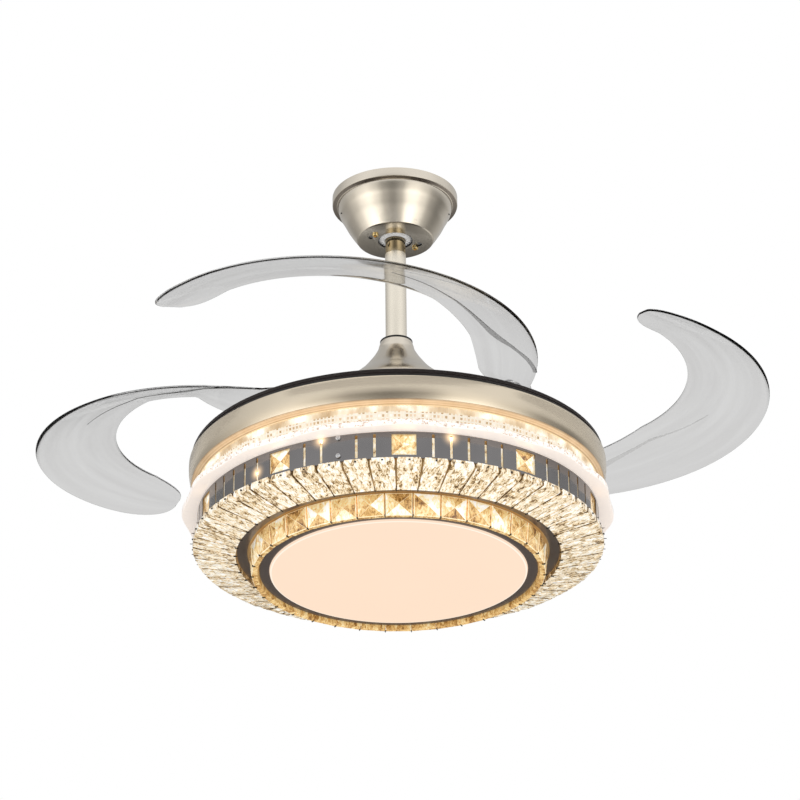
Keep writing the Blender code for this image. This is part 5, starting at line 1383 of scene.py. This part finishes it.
def makeFrostedPlate():
    low, high = box("acrylic_plate")
    inner = plate["radius"] - plate["width"]
    bm = spun(softened(ringSection(plate["radius"], inner, high.z, low.z), plate["round"]), plate["steps"])
    for vert in bm.verts:
        if math.hypot(vert.co.x, vert.co.y) > (plate["radius"] + inner) / 2:
            angle = math.atan2(vert.co.y, vert.co.x) - math.radians(plate["start"])
            pushOut(vert, plate["depth"] * math.cos(plate["lobes"] * angle))
    keep("frostedPlate", bm, "frosted", "hanging_body", "acrylic_plate")


strip = {"wall": 0.002, "round": 0.0003, "dies": 120, "dieInset": 0.0072, "die": (0.0014, 0.0028, 0.0028)}


def makeLedStrip():
    low, high = box("led_strip")
    bm = spun(softened(ringSection(high.x, high.x - strip["wall"], high.z, low.z), strip["round"], 1), 120)
    keep("ledStrip", bm, "board", "hanging_body", "led_strip")
    dies = bmesh.new()
    deep, wide, tall = strip["die"]
    for number in range(strip["dies"]):
        for height in (high.z - strip["dieInset"], low.z + strip["dieInset"]):
            addInto(dies, boxBetween((high.x, -wide / 2, height - tall / 2),
                                     (high.x + deep, wide / 2, height + tall / 2)),
                    turnedBy(math.tau * number / strip["dies"]))
    keep("ledDies", dies, "ledDie", "hanging_body")


makeMetalRing()
makeReflector()
makePrismBand()
makeFrostedPlate()
makeLedStrip()
print("lamp top made")


# Slotted band, its seam and screws, and the crystals behind its windows. Angles in degrees
band = {
    "wall": 0.0012,
    "windows": 10,
    "windowAngle": -88.2,
    "windowWidth": 0.0280,
    "windowHeight": 0.0260,
    "windowDrop": 0.0029,
    "slots": 5,
    "slotFirst": 8.0,
    "slotStep": 5.0,
    "slotWidth": 0.0030,
    "slotHeight": 0.0285,
    "slotDrop": 0.0021,
    "seam": (9, 2),  # window and slot whose place the seam takes
    "arcSteps": 3,
    "plainStep": 2.0,
    "screw": (0.0031, 0.0015, 0.0012, 0.0040, 0.0004),
    "screwLift": 0.0003,
}


def windowAngle(window):
    return math.radians(band["windowAngle"]) + window * math.tau / band["windows"]


def slotAngle(window, slot):
    return windowAngle(window) + math.radians(band["slotFirst"] + slot * band["slotStep"])


def bandOpenings(radius):
    # (middle angle, half angle, drop, height) of each window and slot
    found = []
    for window in range(band["windows"]):
        half = band["windowWidth"] / 2 / radius
        found.append((windowAngle(window), half, band["windowDrop"], band["windowHeight"]))
        half = band["slotWidth"] / 2 / radius
        found += [(slotAngle(window, slot), half, band["slotDrop"], band["slotHeight"])
                  for slot in range(band["slots"]) if (window, slot) != band["seam"]]
    return sorted(found)


def makeBand():
    low, high = box("slotted_band")
    openings = bandOpenings(high.x)
    heights = sorted({high.z, low.z, high.z - band["windowDrop"], high.z - band["slotDrop"],
                      high.z - band["windowDrop"] - band["windowHeight"],
                      high.z - band["slotDrop"] - band["slotHeight"]})
    edges = [middle - half + 2 * half * step / band["arcSteps"] for middle, half, drop, tall in openings
             for step in range(band["arcSteps"] + 1)]
    start = min(edges) - 0.01
    edges = sorted(edges + [start])
    turns = []
    for turn, after in zip(edges, edges[1:] + [start + math.tau]):
        parts = max(1, round((after - turn) / math.radians(band["plainStep"])))
        turns += [turn + (after - turn) * part / parts for part in range(parts)]
    turns.append(start + math.tau)
    columns, rows = len(turns) - 1, len(heights) - 1
    bm = bmesh.new()
    bmesh.ops.create_grid(bm, x_segments=columns, y_segments=rows, size=1.0)
    away = []
    for face in bm.faces:
        middle = face.calc_center_median()
        column, row = int((middle.x + 1.0) / 2 * columns), int((middle.y + 1.0) / 2 * rows)
        turn = (turns[column] + turns[column + 1]) / 2
        drop = high.z - (heights[row] + heights[row + 1]) / 2
        if any(abs((turn - centre + math.pi) % math.tau - math.pi) < half and start < drop < start + tall
               for centre, half, start, tall in openings):
            away.append(face)
    for vert in bm.verts:
        turn = turns[rowAt(vert, columns)]
        height = heights[round((vert.co.y + 1.0) / 2 * rows)]
        vert.co = (high.x * math.cos(turn), high.x * math.sin(turn), height)
    bmesh.ops.delete(bm, geom=away, context="FACES")
    tidied(bm)
    middle = bm.faces[0].calc_center_median()
    if bm.faces[0].normal.dot(Vector((middle.x, middle.y, 0.0))) < 0.0:
        bmesh.ops.reverse_faces(bm, faces=bm.faces)
    bmesh.ops.solidify(bm, geom=bm.faces[:], thickness=band["wall"])
    bmesh.ops.recalc_face_normals(bm, faces=bm.faces)
    keep("slottedBand", bm, "mirrorBand", "hanging_body", "slotted_band", 40.0)
    for name in ("upper", "lower"):
        screwLow, screwHigh = box("band_screw_" + name)
        place = (turnedBy(slotAngle(*band["seam"]))
                 @ placeAt(high.x + band["screwLift"], 0.0, (screwLow.z + screwHigh.z) / 2)
                 @ Matrix.Rotation(-quarterTurn, 4, "Y"))
        keep("bandScrew." + name, moved(crossHead(*band["screw"]), place), "steel", "hanging_body",
             "band_screw_" + name)


def newStones():
    bm = bmesh.new()
    bm.loops.layers.float_color.new("cut")
    return bm


def markCut(bm, faces, tone, line=0.0, seed=0.0):
    layer = bm.loops.layers.float_color["cut"]
    for face in faces:
        for loop in face.loops:
            loop[layer] = (tone, line, seed, 1.0)


# tones of the cut: painted shade on the back, painted reflections on the rim and facets, and painted
# highlights along the lines of the X
crossCut = {
    "rimDepth": 0.55,
    "line": 0.00035,
    "facetPeak": 0.0003,
    "backTone": 0.25,
    "rimTone": 0.75,
    "rimLine": 0.55,
    "lineTone": 0.9,
    "tones": (0.08, 0.22, 0.34, 0.46, 0.62, 0.95),
    "toneSpread": 0.16,
}


def crossCutStone(high, wide, thick, peak, rim, seed):
    # a stone lying on its back: X down its length, Y across, Z out, with four facets that meet in an X
    bm = boxBetween((0.0, -1.0, -thick), (high, 1.0, 0.0))
    for vert in bm.verts:
        vert.co.y *= wide[0] + (wide[1] - wide[0]) * vert.co.x / high
    bm.loops.layers.float_color.new("cut")
    markCut(bm, bm.faces, crossCut["backTone"], 0.0, seed)
    front = [face for face in bm.faces if face.normal.z > 0.9]
    rims = bmesh.ops.inset_region(bm, faces=front, thickness=rim, depth=rim * crossCut["rimDepth"])["faces"]
    markCut(bm, rims, crossCut["rimTone"], crossCut["rimLine"], seed)
    triangles = bmesh.ops.poke(bm, faces=front, offset=peak)["faces"]
    lines = bmesh.ops.inset_individual(bm, faces=triangles, thickness=crossCut["line"], depth=0.0)["faces"]
    markCut(bm, lines, 1.0, crossCut["lineTone"], seed)
    spread = crossCut["toneSpread"]
    # each facet takes a random tone: a painted reflection
    for triangle in triangles:
        base = random.choice(crossCut["tones"])
        for part in bmesh.ops.poke(bm, faces=[triangle], offset=crossCut["facetPeak"])["faces"]:
            markCut(bm, [part], min(1.0, max(0.0, base + random.uniform(-spread, spread))), 0.0, seed)
    return bm


windowCrystal = {"margin": 0.0010, "thick": 0.0040, "peak": 0.0011, "rim": 0.0012, "inner": 0.2308,
                 "glowWall": 0.0014, "glowSink": 0.4, "glowMargin": 0.002}


def makeWindowCrystals():
    random.seed(3)
    high = box("slotted_band")[1]
    inner, wall, thick = windowCrystal["inner"], windowCrystal["glowWall"], windowCrystal["thick"]
    top = high.z - band["windowDrop"] + windowCrystal["margin"]
    tall = band["windowHeight"] + 2 * windowCrystal["margin"]
    wide = band["windowWidth"] / 2 + windowCrystal["margin"]
    out = inner + wall * windowCrystal["glowSink"] + thick
    bm = newStones()
    for window in range(band["windows"]):
        one = crossCutStone(tall, (wide, wide), thick, windowCrystal["peak"], windowCrystal["rim"],
                            random.random())
        addInto(bm, one, faceFrame((out, top), (out, top - tall), windowAngle(window))[0])
    keep("windowCrystals", bm, "amberCrystal", "hanging_body", "window_crystals", 2.0)
    margin = windowCrystal["glowMargin"]
    # a glowing strip behind the windows and slots: painted light
    bm = spun(ringSection(inner + wall, inner, top - margin, top - tall + margin), 180)
    keep("slotGlowStrip", bm, "slotGlow", "hanging_body")
    diodes = bmesh.new()
    radius = brightDiodes["bandRadius"] - brightDiodes["behind"]
    for angle, height in brightDiodes["places"]:
        one = bmesh.new()
        bmesh.ops.create_icosphere(one, subdivisions=2, radius=brightDiodes["size"])
        addInto(diodes, one, placeAt(*diodePlace(angle, height, radius)))
    keep("brightDiodes", diodes, "ledDie", "hanging_body")


makeBand()
makeWindowCrystals()
print("band made")


# The two rows of cut crystals, the channel between them and their claws
outerRow = {
    "count": 50,
    "joint": -90.45,
    "endTop": (0.2450, -0.4716),
    "corner": (0.2450, -0.4795),
    "foot": (0.1934, -0.4899),
    "thick": 0.0056,
    "rows": 12,
    "columns": 4,
    "topGap": 0.0015,
    "footGap": 0.0007,
    "topShare": 0.90,
    "edgeSink": 0.0009,
    "cornerSink": 0.0006,
    "backDrop": 0.0004,
    "rough": 0.0018,
    "shiftAlong": 0.4,
    "shiftAcross": 0.10,
    "jointShade": -0.9,
}


def makeOuterBar(pitch, seed):
    # one bar, its back towards the fan; two rows of cuts cover its outer end, the rest its sloping face
    top, corner, foot = (Vector(outerRow[name]) for name in ("endTop", "corner", "foot"))
    slope = (foot - corner).normalized()
    level = Vector((1.0, 0.0))
    slopeOut = Vector((-slope.y, slope.x))
    if slopeOut.y > 0.0:
        slopeOut = -slopeOut
    endLong = (corner - top).length
    whole = endLong + (foot - corner).length
    rows = outerRow["rows"]
    bm = bmesh.new()
    bmesh.ops.create_grid(bm, x_segments=rows, y_segments=outerRow["columns"], size=1.0)
    for vert in bm.verts:
        row, across = (vert.co.x + 1.0) / 2 * rows, vert.co.y
        edge = max(abs(vert.co.x), abs(across)) > 0.99
        onCorner = abs(row - 2) < 0.01
        travel = endLong * row / 2 if row < 2.01 else endLong + (whole - endLong) * (row - 2) / (rows - 2)
        if not edge and row > 2.5:
            travel += random.uniform(-outerRow["shiftAlong"], outerRow["shiftAlong"]) * whole / rows
        if travel <= endLong:
            spot, out = top.lerp(corner, travel / endLong), level
        else:
            spot, out = corner + slope * (travel - endLong), slopeOut
        if onCorner:
            out = (slopeOut + level).normalized()
        gap = outerRow["topGap"] + (outerRow["footGap"] - outerRow["topGap"]) * travel / whole
        half = (spot.x * math.sin(pitch / 2) - gap) * (outerRow["topShare"] if row < 0.5 else 1.0)
        lift = -outerRow["edgeSink"] if edge else -random.random() * outerRow["rough"]
        if onCorner:
            lift -= outerRow["cornerSink"]
        if not edge:
            across += random.uniform(-outerRow["shiftAcross"], outerRow["shiftAcross"])
        spot = spot + out * lift
        vert.co = (spot.x * math.cos(pitch / 2), across * half, spot.y)
    back = bmesh.ops.extrude_edge_only(bm, edges=[edge for edge in bm.edges if edge.is_boundary])["geom"]
    walls = {part for part in back if isinstance(part, bmesh.types.BMVert)}
    for vert in walls:
        high = min(vert.co.z + outerRow["thick"], top.y - outerRow["backDrop"])
        vert.co = (min(vert.co.x, top.x - outerRow["thick"]), vert.co.y, high)
    bmesh.ops.holes_fill(bm, edges=[edge for edge in bm.edges if edge.is_boundary], sides=0)
    bmesh.ops.triangulate(bm, faces=[face for face in bm.faces if len(face.verts) < 5])
    bmesh.ops.recalc_face_normals(bm, faces=bm.faces)
    bm.loops.layers.float_color.new("cut")
    for face in bm.faces:  # the walls of the joints are painted dark, painted shade between the bars; the other faces take a random tone of painted reflection
        inJoint = any(vert in walls for vert in face.verts)
        markCut(bm, [face], outerRow["jointShade"] if inJoint else random.random(), 0.0, seed)
    return bm


def makeOuterCrystals():
    random.seed(11)
    pitch = math.tau / outerRow["count"]
    bm = newStones()
    for number in range(outerRow["count"]):
        one = makeOuterBar(pitch, random.random())
        addInto(bm, one, turnedBy(math.radians(outerRow["joint"]) + (number + 0.5) * pitch))
    keep("outerCrystals", bm, "paleCrystal", "hanging_body", "outer_crystals", 2.0)


innerRow = {"count": 34, "joint": -84.35, "top": (0.1780, -0.4851), "foot": (0.1752, -0.5119), "gap": 0.0008,
            "thick": 0.0078, "peak": 0.0016, "rim": 0.0011}


def makeInnerCrystals():
    random.seed(5)
    pitch = math.tau / innerRow["count"]
    peak = innerRow["peak"]
    ends = [innerRow[name] for name in ("top", "foot")]
    flats = [(radius * math.cos(pitch / 2) - peak, height) for radius, height in ends]
    widths = [(radius - peak) * math.sin(pitch / 2) - innerRow["gap"] for radius, height in ends]
    bm = newStones()
    for number in range(innerRow["count"]):
        place, length = faceFrame(*flats, math.radians(innerRow["joint"]) + (number + 0.5) * pitch)
        one = crossCutStone(length, widths, innerRow["thick"] - peak, peak, innerRow["rim"], random.random())
        addInto(bm, one, place)
    keep("innerCrystals", bm, "amberCrystal", "hanging_body", "inner_crystals", 2.0)


channel = {  # each wire: where it starts from the bar's end or foot, and its length, width and height
    "outer": 0.1914,
    "inner": 0.1791,
    "round": 0.0003,
    "wireRound": 0.0002,
    "claw": ((-0.0022, -0.00044), (0.0042, 0.0009, 0.00154)),
    "hook": ((-0.0040, -0.0030), (0.0060, 0.0007, 0.0008)),
    "pin": ((-0.0020, -0.0040), (0.0022, 0.0022, 0.0014)),
}


def addWire(bm, start, size, turn):
    long, wide, tall = size
    one = boxBetween((start[0], -wide / 2, start[1]), (start[0] + long, wide / 2, start[1] + tall))
    addInto(bm, easeEdges(one, channel["wireRound"], 1), turnedBy(turn))


def makeChannel():
    low, high = box("bronze_channel")
    line = softened(ringSection(channel["outer"], channel["inner"], high.z, low.z), channel["round"], 2)
    keep("bronzeChannel", spun(line), "bronze", "hanging_body", "bronze_channel")
    claws = bmesh.new()
    pitch = math.tau / outerRow["count"]
    for number in range(outerRow["count"]):
        turn = math.radians(outerRow["joint"]) + number * pitch
        # a claw and a hook at each joint, and a pin through each bar, near its upper edge
        for name, end, share in (("claw", "foot", 0.0), ("hook", "endTop", 0.0), ("pin", "endTop", 0.5)):
            shift, size = channel[name]
            addWire(claws, Vector(outerRow[end]) + Vector(shift), size, turn + pitch * share)
    keep("crystalClaws", claws, "blackWire", "hanging_body")


panel = {
    "wall": 0.0014,
    "wallInset": 0.006,
    "lip": 0.0015,
    "opening": 0.1527,
    "outerEdge": (0.0006, 0.0004),
    "openingEdge": (0.0008, 0.0004),
    "face": 0.1523,
    "round": 0.0015,
    "gap": 0.0003,
    "crown": 0.6,
    "clipPlace": 0.1710,
    "clip": (0.0042, 0.0010),
    "clipGap": 0.0001,
    "clipRise": 0.0012,
}


def makePanel():
    low, high = box("panel_frame")
    outer, opening, lip = high.x, panel["opening"], low.z + panel["lip"]
    wallRadius = outer - panel["wallInset"]
    (outInset, outRise), (inset, rise) = panel["outerEdge"], panel["openingEdge"]
    line = [(wallRadius, high.z), (wallRadius, lip), (outer, lip), (outer, low.z + outRise),
            (outer - outInset, low.z), (opening + inset, low.z), (opening, low.z + rise), (opening, lip),
            (wallRadius - panel["wall"], lip), (wallRadius - panel["wall"], high.z)]
    keep("panelFrame", spun(softened(line, 0.0003, 2), ring["steps"]), "blackFrame", "hanging_body",
         "panel_frame")
    low, high = box("diffuser_panel")
    face, roll = panel["face"], panel["round"]
    flange = lip + panel["gap"]
    line = [(0.0, high.z), (high.x, high.z), (high.x, flange), (face, flange), (face, low.z + roll)]
    line += [(face - roll + roll * math.cos(turn), low.z + roll - roll * math.sin(turn))
             for turn in (quarterTurn * step / 5 for step in range(1, 6))]
    line += [(face * panel["crown"], low.z), (0.0, low.z)]
    keep("diffuserPanel", spun(line, ring["steps"], closed=False), "panel", "hanging_body",
         "diffuser_panel")
    clips = bmesh.new()
    long, wide = panel["clip"]
    bottom = box("inner_crystals")[0].z + panel["clipGap"]
    tall = innerRow["foot"][1] + panel["clipRise"] - bottom
    for number in range(innerRow["count"]):
        turn = math.radians(innerRow["joint"]) + math.tau * number / innerRow["count"]
        addWire(clips, (panel["clipPlace"], bottom), (long, wide, tall), turn)
    keep("crystalClips", clips, "blackWire", "hanging_body")


makeOuterCrystals()
makeInnerCrystals()
makeChannel()
makePanel()
print("crystals made")
